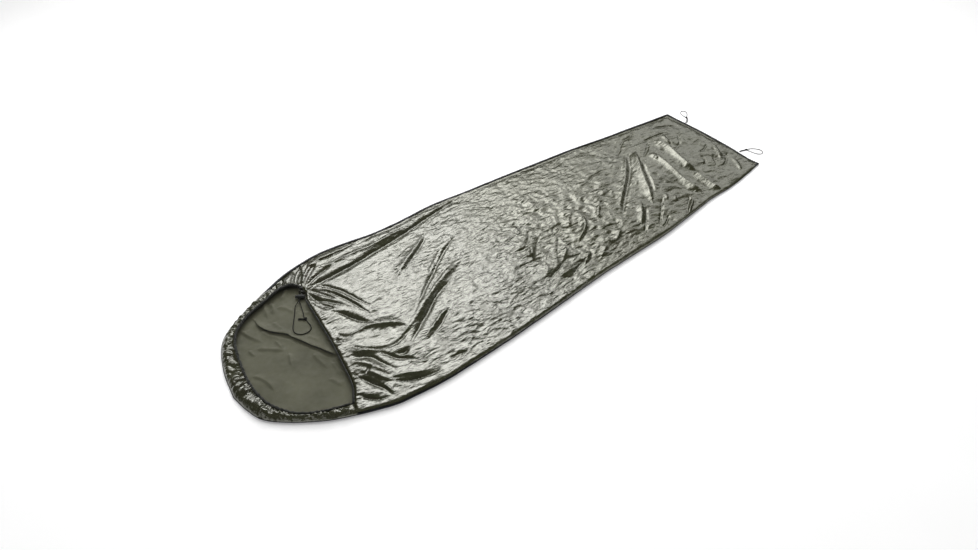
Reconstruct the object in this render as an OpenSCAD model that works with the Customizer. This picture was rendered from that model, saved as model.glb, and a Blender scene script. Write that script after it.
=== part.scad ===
// Bivy sack, laid out flat on its ground sheet.
// +X runs along the bag towards the foot, +Y to the sleeper's left, +Z up.
// The origin is the centre of the bag's plan, on the floor. Millimetres.

/* [Bag] */
// Length of the bag, from the head to the foot seam
bag_length = 2254; // [2150:1:2350]
// Width of the bag at the shoulders
shoulder_width = 780; // [740:1:820]
// Height of the top panel's crown above the floor
crown_height = 36; // [30:1:44]
// Thickness that stands for one layer of cloth
cloth = 2; // [1.6:0.1:2.4]
// Width of the sewn flange round the edge
flange = 14; // [11:1:16]

/* [Casing] */
// Outer radius of the drawcord casing and the face hem
casing_radius = 4.6; // [4.2:0.1:5.2]
// Radius of the passage inside the casing
passage_radius = 2.6; // [2.4:0.1:3]

/* [Cords] */
// Diameter of the drawcord
drawcord_diameter = 3; // [2.6:0.1:3.2]
// Diameter of the foot loops
foot_cord_diameter = 2.6; // [2.2:0.1:3]

/* [Cord lock] */
// Outer radius of the cord lock's barrel
lock_radius = 7.5; // [7:0.1:7.6]
// Length of the barrel
lock_length = 23.5; // [23:0.5:25]
// Travel of the plunger
plunger_travel = 4; // [3:0.5:4]
// Distance from the eyelet to the middle of the lock
lock_distance = 18; // [17.5:0.5:20]

/* [Hidden] */

// The plan is laid out at this length and width, then scaled to the driving sizes.
PLAN_LENGTH = 2254;
PLAN_WIDTH = 780;
kx = bag_length / PLAN_LENGTH;
ky = shoulder_width / PLAN_WIDTH;

// The laid outline on the sleeper's left, from the foot to the head.
LEFT_PLAN = [
    [1120, 288], [940, 304], [780, 318], [500, 346], [100, 368], [-90, 380],
    [-330, 368], [-560, 390], [-700, 372], [-800, 336], [-890, 292], [-1035, 204],
    [-1098, 80], [-1127, -50]
];
// The laid outline on the sleeper's right, from the head to the foot.
RIGHT_PLAN = [
    [-1127, -50], [-1116, -140], [-1080, -210], [-960, -302], [-800, -368],
    [-700, -386], [-540, -390], [-250, -370], [145, -328], [475, -307], [745, -266],
    [920, -252], [1120, -216]
];
// The foot edge, from the sleeper's right to the left.
FOOT_PLAN = [[1120, -216], [1116, -160], [1124, -40], [1127, 90], [1121, 200], [1120, 288]];

// Front edge of the top panel: from the right side over the face opening to the pinch and the left side.
FRONT_PLAN = [
    [-874, -338], [-846, -285], [-820, -233], [-795, -125], [-778, -46], [-757, 85],
    [-745, 165], [-738, 205], [-720, 224], [-719, 238], [-716, 262], [-700, 320], [-682, 377]
];
// Route of the face hem's middle, from the right shoulder to the pinch.
HEM_ROUTE = [
    [-862, -298, 14], [-853, -283, 16], [-827, -233, 19], [-802, -125, 20], [-785, -46, 20],
    [-764, 85, 20], [-752, 160, 19], [-747, 188, 17]
];
// The held cord's way from the hem round to the back of the eyelet.
HEM_TO_EYELET = [[-746, 195, 16.2], [-738, 207, 15], [-722, 223, 13], [-717, 237, 11.5]];
// Middle of the face opening, that the hood's folds run out from.
FACE_MIDDLE = [-800, -10];

// Route of the casing's middle round the hood, from the pinch over the head to the right shoulder.
HOOD_ROUTE = [
    [-729, 246, 14], [-736, 268, 18], [-760, 285, 20], [-797, 286, 20], [-868, 261, 20],
    [-942, 231, 20], [-1000, 186, 20], [-1032, 128, 20], [-1053, 50, 20], [-1067, -20, 20],
    [-1070, -88, 20], [-1062, -150, 20], [-1037, -206, 20], [-996, -250, 20], [-942, -279, 20],
    [-900, -291, 18], [-872, -296, 15]
];

// Where the cord's strands leave the eyelet, and the way that they point.
EXIT = [-738, 233, 10];
STEM_ANGLE = 228;
// The two strands run side by side past these distances from the eyelet. The first is clear of the hinge there.
STEM_STATIONS = [2, 19, 36, 42];
// Half the distance between the two strands in the stem.
STRAND = 1.9;

// Free loop of the drawcord beyond the stem, round from one strand to the other.
TAIL_LOOP = [
    [-787, 190, 6.5], [-804, 164, 4.2], [-824, 134, 4], [-844, 102, 4], [-847, 80, 4],
    [-834, 63, 4], [-815, 59, 4], [-799, 66, 4], [-791, 82, 4], [-790, 106, 4],
    [-789, 128, 4.2], [-780, 150, 4.4], [-773, 172, 5.6]
];
// Middle of the knot in that loop.
TAIL_KNOT = [-789.5, 118, 5.1];

// Left foot loop, out from the foot seam and back: its own stem, then a teardrop.
LEFT_LOOP = [
    [1131, 193, 3], [1144, 198, 2.4], [1157, 207, 2], [1166, 221, 2.2], [1168, 238, 2],
    [1173, 256, 2], [1186, 268, 2], [1200, 266, 2], [1203, 253, 2], [1194, 239, 2],
    [1181, 228, 2], [1170, 217, 2.2], [1160, 203, 2], [1146, 193.5, 2.4], [1131, 189, 3]
];
LEFT_KNOT = [1168, 219, 3.2];
// Right foot loop, out from the foot seam and back.
RIGHT_LOOP = [
    [1131, -105, 3], [1144, -105.5, 2.4], [1158, -110, 2], [1171, -114.5, 2.2], [1187, -121, 2],
    [1202, -135, 2], [1210, -152, 2], [1204, -168, 2], [1189, -173, 2], [1176, -163, 2],
    [1170, -146, 2], [1167.5, -129, 2], [1164, -116.5, 2.2], [1155, -113.5, 2], [1144, -109.5, 2.4],
    [1131, -109, 3]
];
RIGHT_KNOT = [1165, -114, 3.2];

// ---------- curves ----------

function blend(a, b, c, d, t) =
    0.5 * (2 * b + (c - a) * t + (2 * a - 5 * b + 4 * c - d) * t * t + (3 * b - a - 3 * c + d) * t * t * t);

// A smooth curve through the points, with this many steps to each stretch.
function smooth(points, steps) =
    let (last = len(points) - 1)
    concat(
        [for (i = [0:last - 1], k = [0:steps - 1])
            blend(points[max(i - 1, 0)], points[i], points[i + 1], points[min(i + 2, last)], k / steps)],
        [points[last]]
    );

function scaled(points) =
    [for (p = points) len(p) == 2 ? [p[0] * kx, p[1] * ky] : [p[0] * kx, p[1] * ky, p[2]]];

function unit(v) = v / norm(v);

function reversed(list) = [for (i = [len(list) - 1:-1:0]) list[i]];

// Direction of a path at its point i.
function heading(path, i) =
    unit(path[min(i + 1, len(path) - 1)] - path[max(i - 1, 0)]);

// A ring of points square to the path at its point i.
function ring(path, i, radius, sides) =
    let (
        ahead = heading(path, i),
        side = unit(cross(ahead, [0, 0, 1])),
        up = cross(side, ahead)
    )
    [for (k = [0:sides - 1])
        path[i] + radius * (cos(360 * k / sides) * side + sin(360 * k / sides) * up)];

// Triangles between two rings of points that start at a and b.
function band(a, b, sides) =
    [for (k = [0:sides - 1], half = [0, 1])
        let (n = (k + 1) % sides)
        half == 0 ? [a + k, b + k, b + n] : [a + k, b + n, a + n]];

// A solid tube along a path.
module rod_along(path, radius, sides) {
    rings = len(path);
    points = [for (i = [0:rings - 1]) each ring(path, i, radius, sides)];
    faces = concat(
        [[for (k = [0:sides - 1]) k]],
        [for (i = [0:rings - 2]) each band(i * sides, (i + 1) * sides, sides)],
        [[for (k = [sides - 1:-1:0]) (rings - 1) * sides + k]]
    );
    polyhedron(points, faces);
}

// A hollow tube along a path, open at both ends.
module pipe_along(path, outer, inner, sides) {
    rings = len(path);
    count = rings * sides;
    last = (rings - 1) * sides;
    points = concat(
        [for (i = [0:rings - 1]) each ring(path, i, outer, sides)],
        [for (i = [0:rings - 1]) each ring(path, i, inner, sides)]
    );
    faces = concat(
        [for (i = [0:rings - 2]) each band(i * sides, (i + 1) * sides, sides)],
        [for (i = [0:rings - 2]) each band(count + (i + 1) * sides, count + i * sides, sides)],
        band(count, 0, sides),
        band(last, count + last, sides)
    );
    polyhedron(points, faces);
}

// A closed sheet between an upper and a lower grid of points, rows by columns.
module sheet_between(upper, lower) {
    rows = len(upper);
    columns = len(upper[0]);
    count = rows * columns;
    points = concat([for (row = upper) each row], [for (row = lower) each row]);
    top_faces = [for (i = [0:rows - 2], j = [0:columns - 2], half = [0, 1])
        let (a = i * columns + j, b = a + columns)
        half == 0 ? [a, b, b + 1] : [a, b + 1, a + 1]];
    under_faces = [for (f = top_faces) [f[2] + count, f[1] + count, f[0] + count]];
    start = [for (j = [0:columns - 2], half = [0, 1])
        half == 0 ? [j, j + 1, j + 1 + count] : [j, j + 1 + count, j + count]];
    base = (rows - 1) * columns;
    finish = [for (j = [0:columns - 2], half = [0, 1])
        half == 0 ? [base + j + 1, base + j, base + j + count]
                  : [base + j + 1, base + j + count, base + j + 1 + count]];
    first = [for (i = [0:rows - 2], half = [0, 1])
        let (a = i * columns, b = a + columns)
        half == 0 ? [b, a, a + count] : [b, a + count, b + count]];
    far = [for (i = [0:rows - 2], half = [0, 1])
        let (a = i * columns + columns - 1, b = a + columns)
        half == 0 ? [a, b, b + count] : [a, b + count, a + count]];
    polyhedron(points, concat(top_faces, under_faces, start, finish, first, far));
}

// ---------- plan ----------

STEPS = 4;
left_edge = smooth(scaled(LEFT_PLAN), STEPS);
right_edge = smooth(scaled(RIGHT_PLAN), STEPS);
foot_edge = smooth(scaled(FOOT_PLAN), STEPS);
outline = concat(
    left_edge,
    [for (i = [1:len(right_edge) - 1]) right_edge[i]],
    [for (i = [1:len(foot_edge) - 2]) foot_edge[i]]
);

// Y of the left and right edge at an X, from tables that rise with X.
left_table = [for (i = [len(left_edge) - 1:-1:0]) left_edge[i]];
function left_y(x) = lookup(x, left_table);
function right_y(x) = lookup(x, right_edge);
foot_table = [for (p = foot_edge) [p[1], p[0]]];
function foot_x(y) = lookup(y, foot_table);

// The edge moved inwards by a distance, for a strip along it.
function inwards(edge, distance) =
    [for (i = [0:len(edge) - 1])
        let (ahead = heading(edge, i))
        edge[i] + distance * [-ahead[1], ahead[0]]];

// A flat strip along an edge, between two distances inwards and two heights.
module strip(edge, near, far, low, high) {
    translate([0, 0, low])
        linear_extrude(high - low)
            polygon(concat(inwards(edge, near), reversed(inwards(edge, far))));
}

function cross2(a, b) = a[0] * b[1] - a[1] * b[0];

// Where a ray from the face's middle crosses the outline.
function outline_at(direction) =
    let (
        origin = scaled([FACE_MIDDLE])[0],
        reach = max([for (i = [0:len(outline) - 1])
            let (
                p = outline[i],
                side = outline[(i + 1) % len(outline)] - p,
                turn = cross2(direction, side),
                s = cross2(p - origin, direction) / turn
            )
            s >= 0 && s <= 1 ? cross2(p - origin, side) / turn : 0])
    )
    origin + reach * direction;

// A point of a path at a share of its stretches from its start.
function along(path, share) =
    let (at = share * (len(path) - 1), i = min(floor(at), len(path) - 2))
    path[i] + (at - i) * (path[i + 1] - path[i]);

function mix(a, b, t) = a + (b - a) * t;

// ---------- heights ----------

base_top = cloth;
seam_low = 2 * cloth;
seam_high = seam_low + 1.2;
rise = crown_height - seam_low;

// ---------- panels ----------

module base_panel() {
    color([0.40, 0.40, 0.34])
        linear_extrude(cloth)
            polygon(outline);
}

TOP_ROWS = 28;
TOP_COLUMNS = 22;
front_edge = smooth(scaled(FRONT_PLAN), STEPS);
foot_corner_x = scaled([[1120, 0]])[0][0];

// Distance of a column from the right edge, with a flat flange at both sides.
function column_distance(j, width) =
    j == 0 ? 0 :
    j == TOP_COLUMNS - 1 ? width :
    flange + (width - 2 * flange) * (1 - cos(180 * (j - 1) / (TOP_COLUMNS - 3))) / 2;

// Share of the way from the front edge to the foot, closer together towards the foot.
function row_share(i) =
    i == TOP_ROWS - 1 ? 1 : (1 - flange / 1990) * sin(90 * i / (TOP_ROWS - 2));

function top_plan(i, j) =
    let (
        f = row_share(i),
        right_x = mix(front_edge[0][0], foot_corner_x, f),
        left_x = mix(front_edge[len(front_edge) - 1][0], foot_corner_x, f),
        right = [right_x, right_y(right_x)],
        left = [left_x, left_y(left_x)],
        t = column_distance(j, norm(left - right)) / norm(left - right),
        straight = mix([front_edge[0][0], right_y(front_edge[0][0])],
            [front_edge[len(front_edge) - 1][0], left_y(front_edge[len(front_edge) - 1][0])], t),
        front = along(front_edge, t) - straight,
        y = mix(right, left, t)[1]
    )
    mix(right, left, t) + pow(1 - f, 4) * front + pow(f, 6) * [foot_x(y) - foot_corner_x, 0];

// Height of the top panel over its flange, from none at the seams to one on the crown.
function fullness(i, j) =
    let (
        f = row_share(i),
        v = (1 - cos(180 * (j - 1) / (TOP_COLUMNS - 3))) / 2,
        across = j == 0 || j == TOP_COLUMNS - 1 ? 0 : 1 - pow(abs(2 * v - 1), 4),
        mouth = min(1, 0.7 + 4 * f),
        foot_end = i >= TOP_ROWS - 2 ? 0 : 1 - pow(max(0, (f - 0.84) / 0.154), 2)
    )
    across * mouth * foot_end;

module top_panel() {
    upper = [for (i = [0:TOP_ROWS - 1])
        [for (j = [0:TOP_COLUMNS - 1]) let (p = top_plan(i, j)) [p[0], p[1], seam_low + rise * fullness(i, j)]]];
    lower = [for (row = upper) [for (p = row) p - [0, 0, cloth]]];
    color([0.30, 0.30, 0.24])
        sheet_between(upper, lower);
}

HOOD_STEPS = 2;
hood_route = smooth(scaled(HOOD_ROUTE), HOOD_STEPS);
hem_route = smooth(scaled(HEM_ROUTE), HOOD_STEPS);

// Share of the way from the outline to the casing, and height over the flange, across the hood's strip.
HOOD_PROFILE = [[0.35, 9], [0.65, 15], [1, 16.5]];

module hood_panel() {
    rows = [for (i = [0:len(hood_route) - 1])
        let (
            ahead = heading(hood_route, i),
            route = [hood_route[i][0], hood_route[i][1]],
            inner = route + (casing_radius + 0.4) * unit([ahead[1], -ahead[0]]),
            direction = unit(inner - scaled([FACE_MIDDLE])[0]),
            outer = outline_at(direction),
            fold = outer - flange * direction
        )
        concat(
            [[outer[0], outer[1], seam_low], [fold[0], fold[1], seam_low]],
            [for (step = HOOD_PROFILE)
                let (p = mix(fold, inner, step[0]))
                [p[0], p[1], seam_low + step[1] * min(1, hood_route[i][2] / 20)]]
        )];
    lower = [for (row = rows) [for (p = row) p - [0, 0, cloth]]];
    color([0.28, 0.28, 0.22])
        sheet_between(rows, lower);
}

module drawcord_channel() {
    color([0.26, 0.26, 0.21])
        pipe_along(hood_route, casing_radius, passage_radius, 10);
}

module face_hem() {
    color([0.24, 0.24, 0.19])
        pipe_along(hem_route, casing_radius, passage_radius, 10);
}

// ---------- seams ----------

SEAM_WIDTH = 7;
split_left = -684 * kx;
split_right = -878 * kx;
seam_end = foot_corner_x - flange;

left_side = concat(
    [[seam_end, left_y(seam_end)]],
    [for (p = left_edge) if (p[0] > split_left + 1 && p[0] < seam_end - 1) p],
    [[split_left, left_y(split_left)]]
);
right_side = concat(
    [[split_right, right_y(split_right)]],
    [for (p = right_edge) if (p[0] > split_right + 1 && p[0] < seam_end - 1) p],
    [[seam_end, right_y(seam_end)]]
);
hood_side = concat(
    [[split_left - 1, left_y(split_left - 1)]],
    [for (p = left_edge) if (p[0] < split_left - 2) p],
    [for (i = [1:len(right_edge) - 1]) if (right_edge[i][0] < split_right - 2) right_edge[i]],
    [[split_right - 1, right_y(split_right - 1)]]
);

module side_seam_left() {
    color([0.10, 0.11, 0.12])
        strip(left_side, 0, SEAM_WIDTH, seam_low, seam_high);
}

module side_seam_right() {
    color([0.10, 0.11, 0.12])
        strip(right_side, 0, SEAM_WIDTH, seam_low, seam_high);
}

module foot_seam() {
    color([0.10, 0.11, 0.12])
        strip(foot_edge, 0, SEAM_WIDTH, seam_low, seam_high);
}

module hood_seam() {
    color([0.12, 0.12, 0.12])
        strip(hood_side, 0, SEAM_WIDTH, seam_low, seam_high);
}

// The tapes lie inside the bag on the ground sheet, between these distances from the edge.
TAPE_NEAR = 22;
TAPE_FAR = 36;
TAPE_THICK = 0.6;
tape_end = foot_corner_x - 60;
left_tape_edge = [for (p = left_edge) if (p[0] > split_left + 40 && p[0] < tape_end) p];
right_tape_edge = [for (p = right_edge) if (p[0] > split_right + 60 && p[0] < tape_end) p];
foot_tape_edge = [for (p = foot_edge) if (p[1] > -190 * ky && p[1] < 262 * ky) p];

module seam_tape_left() {
    color([0.62, 0.62, 0.58])
        strip(left_tape_edge, TAPE_NEAR, TAPE_FAR, base_top, base_top + TAPE_THICK);
}

module seam_tape_right() {
    color([0.62, 0.62, 0.58])
        strip(right_tape_edge, TAPE_NEAR, TAPE_FAR, base_top, base_top + TAPE_THICK);
}

module seam_tape_foot() {
    color([0.62, 0.62, 0.58])
        strip(foot_tape_edge, TAPE_NEAR, TAPE_FAR, base_top, base_top + TAPE_THICK);
}

BARTACK = [14, 3, 0.9];

module bartack_at(x, y, turn) {
    translate([x, y, seam_high + BARTACK[2] / 2])
        rotate(turn)
            cube(BARTACK, center = true);
}

module corner_bartacks() {
    color([0.08, 0.08, 0.08]) {
        bartack_at(split_left + 12, left_y(split_left + 12) - SEAM_WIDTH / 2, -10);
        bartack_at(split_right + 14, right_y(split_right + 14) + SEAM_WIDTH / 2, -28);
    }
}

module foot_bartacks() {
    color([0.08, 0.08, 0.08])
        for (y = [191, -107] * ky)
            bartack_at(foot_x(y) - SEAM_WIDTH / 2, y, 90);
}

// ---------- drawcord, eyelet and cord lock ----------

cord_radius = drawcord_diameter / 2;
foot_cord_radius = foot_cord_diameter / 2;
exit_point = scaled([EXIT])[0];
stem_way = [cos(STEM_ANGLE), sin(STEM_ANGLE), 0];
// Square to the stem, towards the lock's plunger.
side_way = [cos(STEM_ANGLE - 90), sin(STEM_ANGLE - 90), 0];

// A point of the stem, out from the eyelet and to one side.
function stem_point(out, side) = exit_point + out * stem_way + side * side_way;

module on_stem() {
    translate(exit_point)
        rotate([0, 0, STEM_ANGLE])
            children();
}

module drawcord() {
    route = concat(
        [stem_point(-0.6, STRAND), stem_point(-8, STRAND)],
        hood_route,
        hem_route,
        scaled(HEM_TO_EYELET),
        [stem_point(-8, -STRAND), stem_point(-0.6, -STRAND)]
    );
    color([0.16, 0.17, 0.13])
        rod_along(route, cord_radius, 8);
}

module drawcord_tail() {
    route = concat(
        [for (out = STEM_STATIONS) stem_point(out, STRAND)],
        scaled(TAIL_LOOP),
        [for (out = reversed(STEM_STATIONS)) stem_point(out, -STRAND)]
    );
    color([0.16, 0.17, 0.13])
        rod_along(smooth(route, 2), cord_radius, 8);
}

// A knot: a ball of this radius flattened between two heights.
module knot(middle, radius, low, high) {
    intersection() {
        translate(middle)
            sphere(radius, $fn = 32);
        translate([middle[0], middle[1], (low + high) / 2])
            cube([4 * radius, 4 * radius, high - low], center = true);
    }
}

module drawcord_knot() {
    color([0.14, 0.15, 0.12])
        knot(scaled([TAIL_KNOT])[0], 4.6, base_top + 0.4, base_top + 6.6);
}

PATCH_SIZE = [1.5, 24, 15];
PATCH_BACK = 4.6;
EYELET_BORE = 4.2;
EYELET_BARREL = 5;
EYELET_FLANGE = 6.9;
EYELET_RIM = 0.8;

module eyelet_patch() {
    color([0.20, 0.20, 0.17])
        on_stem()
            difference() {
                translate([-PATCH_BACK, -PATCH_SIZE[1] / 2, -PATCH_SIZE[2] / 2])
                    cube(PATCH_SIZE);
                translate([-PATCH_BACK - 1, 0, 0])
                    rotate([0, 90, 0])
                        cylinder(h = 4, r = EYELET_BARREL + 0.05, $fn = 48);
            }
}

module eyelet() {
    back = -PATCH_BACK - EYELET_RIM;
    deep = PATCH_SIZE[0] + 2 * EYELET_RIM;
    color([0.16, 0.16, 0.16])
        on_stem()
            translate([back, 0, 0])
                rotate([0, 90, 0])
                    rotate_extrude($fn = 48)
                        polygon([
                            [EYELET_BORE, 0], [EYELET_FLANGE, 0], [EYELET_FLANGE, EYELET_RIM],
                            [EYELET_BARREL, EYELET_RIM], [EYELET_BARREL, deep - EYELET_RIM],
                            [EYELET_FLANGE, deep - EYELET_RIM], [EYELET_FLANGE, deep], [EYELET_BORE, deep]
                        ]);
}

// The lock's barrel lies across the stem; its own Z runs along the barrel towards the plunger's head.
module on_barrel() {
    on_stem()
        translate([lock_distance, 0, 0])
            rotate([90, 0, 0])
                children();
}

BARREL_MOUTH = 9;
BARREL_FLOOR = 1.5;
BARREL_BORE = 4.6;
CHAMFER = 1;
SLOT_HALF = STRAND + 1.75;
SLOT_HEIGHT = 3.6;
PLUNGER_RADIUS = 4.3;
PLUNGER_FOOT = -6.2;
HEAD_RADIUS = 6;
HEAD_LENGTH = 3.8;
barrel_end = BARREL_MOUTH - lock_length;
bore_end = barrel_end + BARREL_FLOOR;
head_start = BARREL_MOUTH + plunger_travel + 0.2;

module cord_lock_body() {
    color([0.07, 0.08, 0.08])
        on_barrel()
            difference() {
                rotate_extrude($fn = 48)
                    polygon([
                        [0, barrel_end], [lock_radius - CHAMFER, barrel_end], [lock_radius, barrel_end + CHAMFER],
                        [lock_radius, BARREL_MOUTH - CHAMFER], [lock_radius - CHAMFER, BARREL_MOUTH],
                        [BARREL_BORE, BARREL_MOUTH], [BARREL_BORE, bore_end], [0, bore_end]
                    ]);
                cube([4 * lock_radius, SLOT_HEIGHT, 2 * SLOT_HALF], center = true);
            }
}

module cord_lock_plunger() {
    slot_high = SLOT_HALF + plunger_travel + 0.1;
    color([0.09, 0.10, 0.10])
        on_barrel()
            difference() {
                union() {
                    translate([0, 0, PLUNGER_FOOT])
                        cylinder(h = head_start - PLUNGER_FOOT, r = PLUNGER_RADIUS, $fn = 48);
                    translate([0, 0, head_start])
                        cylinder(h = HEAD_LENGTH, r = HEAD_RADIUS, $fn = 48);
                }
                translate([-2 * PLUNGER_RADIUS, -SLOT_HEIGHT / 2, -SLOT_HALF])
                    cube([4 * PLUNGER_RADIUS, SLOT_HEIGHT, SLOT_HALF + slot_high]);
            }
}

SPRING_TURNS = 3;
SPRING_RADIUS = 3;
SPRING_WIRE = 0.35;
TURN_STEPS = 12;

module cord_lock_spring() {
    low = bore_end + SPRING_WIRE + 0.1;
    high = PLUNGER_FOOT - SPRING_WIRE - 0.1;
    count = SPRING_TURNS * TURN_STEPS;
    coil = [for (i = [0:count])
        let (turn = 360 * i / TURN_STEPS)
        [SPRING_RADIUS * cos(turn), SPRING_RADIUS * sin(turn), mix(low, high, i / count)]];
    color([0.6, 0.6, 0.62])
        on_barrel()
            rod_along(coil, SPRING_WIRE, 6);
}

// ---------- foot loops ----------

module foot_loop(points) {
    color([0.10, 0.10, 0.09])
        rod_along(scaled(points), foot_cord_radius, 8);
}

module foot_loop_left() {
    foot_loop(LEFT_LOOP);
}

module foot_loop_right() {
    foot_loop(RIGHT_LOOP);
}

module foot_knot_left() {
    color([0.09, 0.09, 0.08])
        knot(scaled([LEFT_KNOT])[0], 4.4, 0.4, 6.2);
}

module foot_knot_right() {
    color([0.09, 0.09, 0.08])
        knot(scaled([RIGHT_KNOT])[0], 4.4, 0.4, 6.2);
}

base_panel();
top_panel();
hood_panel();
drawcord_channel();
face_hem();
side_seam_left();
side_seam_right();
foot_seam();
hood_seam();
seam_tape_left();
seam_tape_right();
seam_tape_foot();
drawcord();
drawcord_tail();
drawcord_knot();
eyelet_patch();
eyelet();
cord_lock_body();
cord_lock_plunger();
cord_lock_spring();
corner_bartacks();
foot_loop_left();
foot_loop_right();
foot_knot_left();
foot_knot_right();
foot_bartacks();
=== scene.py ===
import math

import bpy
import numpy as np
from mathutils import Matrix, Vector


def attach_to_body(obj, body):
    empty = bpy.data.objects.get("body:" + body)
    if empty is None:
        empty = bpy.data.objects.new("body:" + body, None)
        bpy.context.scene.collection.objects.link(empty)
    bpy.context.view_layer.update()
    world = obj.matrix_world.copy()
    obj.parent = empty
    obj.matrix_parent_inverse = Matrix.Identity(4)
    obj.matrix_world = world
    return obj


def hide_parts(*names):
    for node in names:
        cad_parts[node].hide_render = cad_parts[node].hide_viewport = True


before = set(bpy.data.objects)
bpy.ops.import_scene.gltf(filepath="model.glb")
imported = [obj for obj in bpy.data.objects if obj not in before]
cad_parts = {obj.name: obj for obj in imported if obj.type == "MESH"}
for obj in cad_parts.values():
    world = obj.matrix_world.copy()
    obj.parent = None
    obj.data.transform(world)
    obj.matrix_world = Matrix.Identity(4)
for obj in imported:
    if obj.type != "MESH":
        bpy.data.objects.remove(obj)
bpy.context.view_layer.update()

# A bivy sack laid out flat. +X runs to the foot, +Y to the sleeper's left, +Z up.
# Every length is in metres, in the frame of the CAD model.
MM = 0.001

# ---------- camera ----------

AIM = Vector((-0.176, -0.077, 0.0))
AZIMUTH = math.radians(-38.446)
ELEVATION = math.radians(40.361)
DISTANCE = 3.0667
LENS = 32.447
SENSOR = 36.0


def make_camera():
    data = bpy.data.cameras.new("camera")
    data.lens = LENS
    data.sensor_width = SENSOR
    camera = bpy.data.objects.new("camera", data)
    back = Vector((
        math.sin(AZIMUTH) * math.cos(ELEVATION),
        -math.cos(AZIMUTH) * math.cos(ELEVATION),
        math.sin(ELEVATION),
    ))
    camera.location = AIM + DISTANCE * back
    camera.rotation_mode = "QUATERNION"
    camera.rotation_quaternion = (-back).to_track_quat("-Z", "Y")
    bpy.context.scene.collection.objects.link(camera)
    bpy.context.scene.camera = camera


make_camera()

# ---------- curves and meshes ----------


def spline(points, steps=8):
    """A smooth curve through the points, with this many steps to each stretch."""
    p = np.asarray(points, float)
    q = np.vstack([p[:1], p, p[-1:]])
    t = (np.arange(steps) / steps)[:, None]
    made = []
    for a, b, c, d in zip(q, q[1:], q[2:], q[3:]):
        made.append(0.5 * (
            2 * b + (c - a) * t + (2 * a - 5 * b + 4 * c - d) * t ** 2
            + (3 * b - a - 3 * c + d) * t ** 3
        ))
    return np.vstack([*made, p[-1:]])


def travelled(path):
    """Distance along a path to each of its points."""
    return np.concatenate([[0], np.cumsum(np.linalg.norm(np.diff(path, axis=0), axis=1))])


def at(path, distances):
    """Points of a path at these distances along it."""
    gone = travelled(path)
    return np.stack([np.interp(distances, gone, path[:, k]) for k in range(path.shape[1])], -1)


def even(path, gap):
    """The path again, with points about this far apart."""
    total = travelled(path)[-1]
    return at(path, np.linspace(0, total, max(2, round(total / gap) + 1)))


def mix(a, b, t):
    return a + (b - a) * t


def ease(t):
    t = np.clip(t, 0, 1)
    return t * t * (3 - 2 * t)


def unit(v):
    return v / np.maximum(np.linalg.norm(v, axis=-1, keepdims=True), 1e-12)


def left_of(path):
    """Directions square to a path in plan, to its left."""
    ahead = unit(np.gradient(path, axis=0))
    return np.stack([-ahead[:, 1], ahead[:, 0]], -1)


def mesh_object(name, points, faces, material, smooth=True):
    mesh = bpy.data.meshes.new(name)
    mesh.from_pydata(np.asarray(points, float).reshape(-1, 3).tolist(), [], faces)
    mesh.polygons.foreach_set("use_smooth", [smooth] * len(mesh.polygons))
    mesh.materials.append(material)
    mesh.update()
    made = bpy.data.objects.new(name, mesh)
    bpy.context.scene.collection.objects.link(made)
    return made


def grid_faces(rows, columns, start=0, flip=False, around=False):
    """Quads of a grid of points. around joins the last column to the first."""
    i, j = np.meshgrid(np.arange(rows - 1), np.arange(columns if around else columns - 1), indexing="ij")
    n = (j + 1) % columns
    below, above = i * columns + start, (i + 1) * columns + start
    quads = np.stack([below + j, above + j, above + n, below + n], -1).reshape(-1, 4)
    return (quads[:, ::-1] if flip else quads).tolist()


def frames(path):
    """Two directions square to the path at each point, that turn as little as they can."""
    ahead = unit(np.gradient(path, axis=0))
    side = np.cross(ahead[0], [0, 0, 1.0])
    if np.linalg.norm(side) < 0.1:
        side = np.cross(ahead[0], [1.0, 0, 0])
    sides = []
    for a in ahead:
        side = unit(side - (side @ a) * a)
        sides.append(side)
    sides = np.array(sides)
    return sides, np.cross(sides, ahead)


def tube_points(path, radius, sides):
    """Rings round a path. radius is one number, one a ring, or one a point of each ring."""
    side, up = frames(path)
    turn = np.linspace(0, 2 * math.pi, sides, endpoint=False)
    if np.ndim(radius) == 1:
        radius = radius[:, None]
    r = np.broadcast_to(radius, (len(path), sides))[..., None]
    return path[:, None] + r * (np.cos(turn)[:, None] * side[:, None] + np.sin(turn)[:, None] * up[:, None])


def loft_faces(rows, columns, flip=False):
    """Faces of a closed skin over rings of points, with both its ends capped."""
    last = (rows - 1) * columns
    ends = [list(range(columns)), list(range(last, last + columns))[::-1]]
    return grid_faces(rows, columns, around=True, flip=flip) + [end[::-1] if flip else end for end in ends]


def tube_part(path, radius, sides):
    return tube_points(path, radius, sides), loft_faces(len(path), sides)


def tube(name, path, radius, sides, material):
    return mesh_object(name, *tube_part(path, radius, sides), material)


def joined(name, parts, material):
    """One object from several (points, faces) parts."""
    points, faces, start = [], [], 0
    for part, part_faces in parts:
        part = part.reshape(-1, 3)
        points.append(part)
        faces += [[k + start for k in face] for face in part_faces]
        start += len(part)
    return mesh_object(name, np.vstack(points), faces, material)


def attach(piece, node=None, body="bag"):
    """Rides a piece on a body, in place of a CAD node if there is one."""
    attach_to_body(piece, body)
    if node:
        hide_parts(node)
    return piece


# ---------- noise ----------

TABLES = {}


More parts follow.
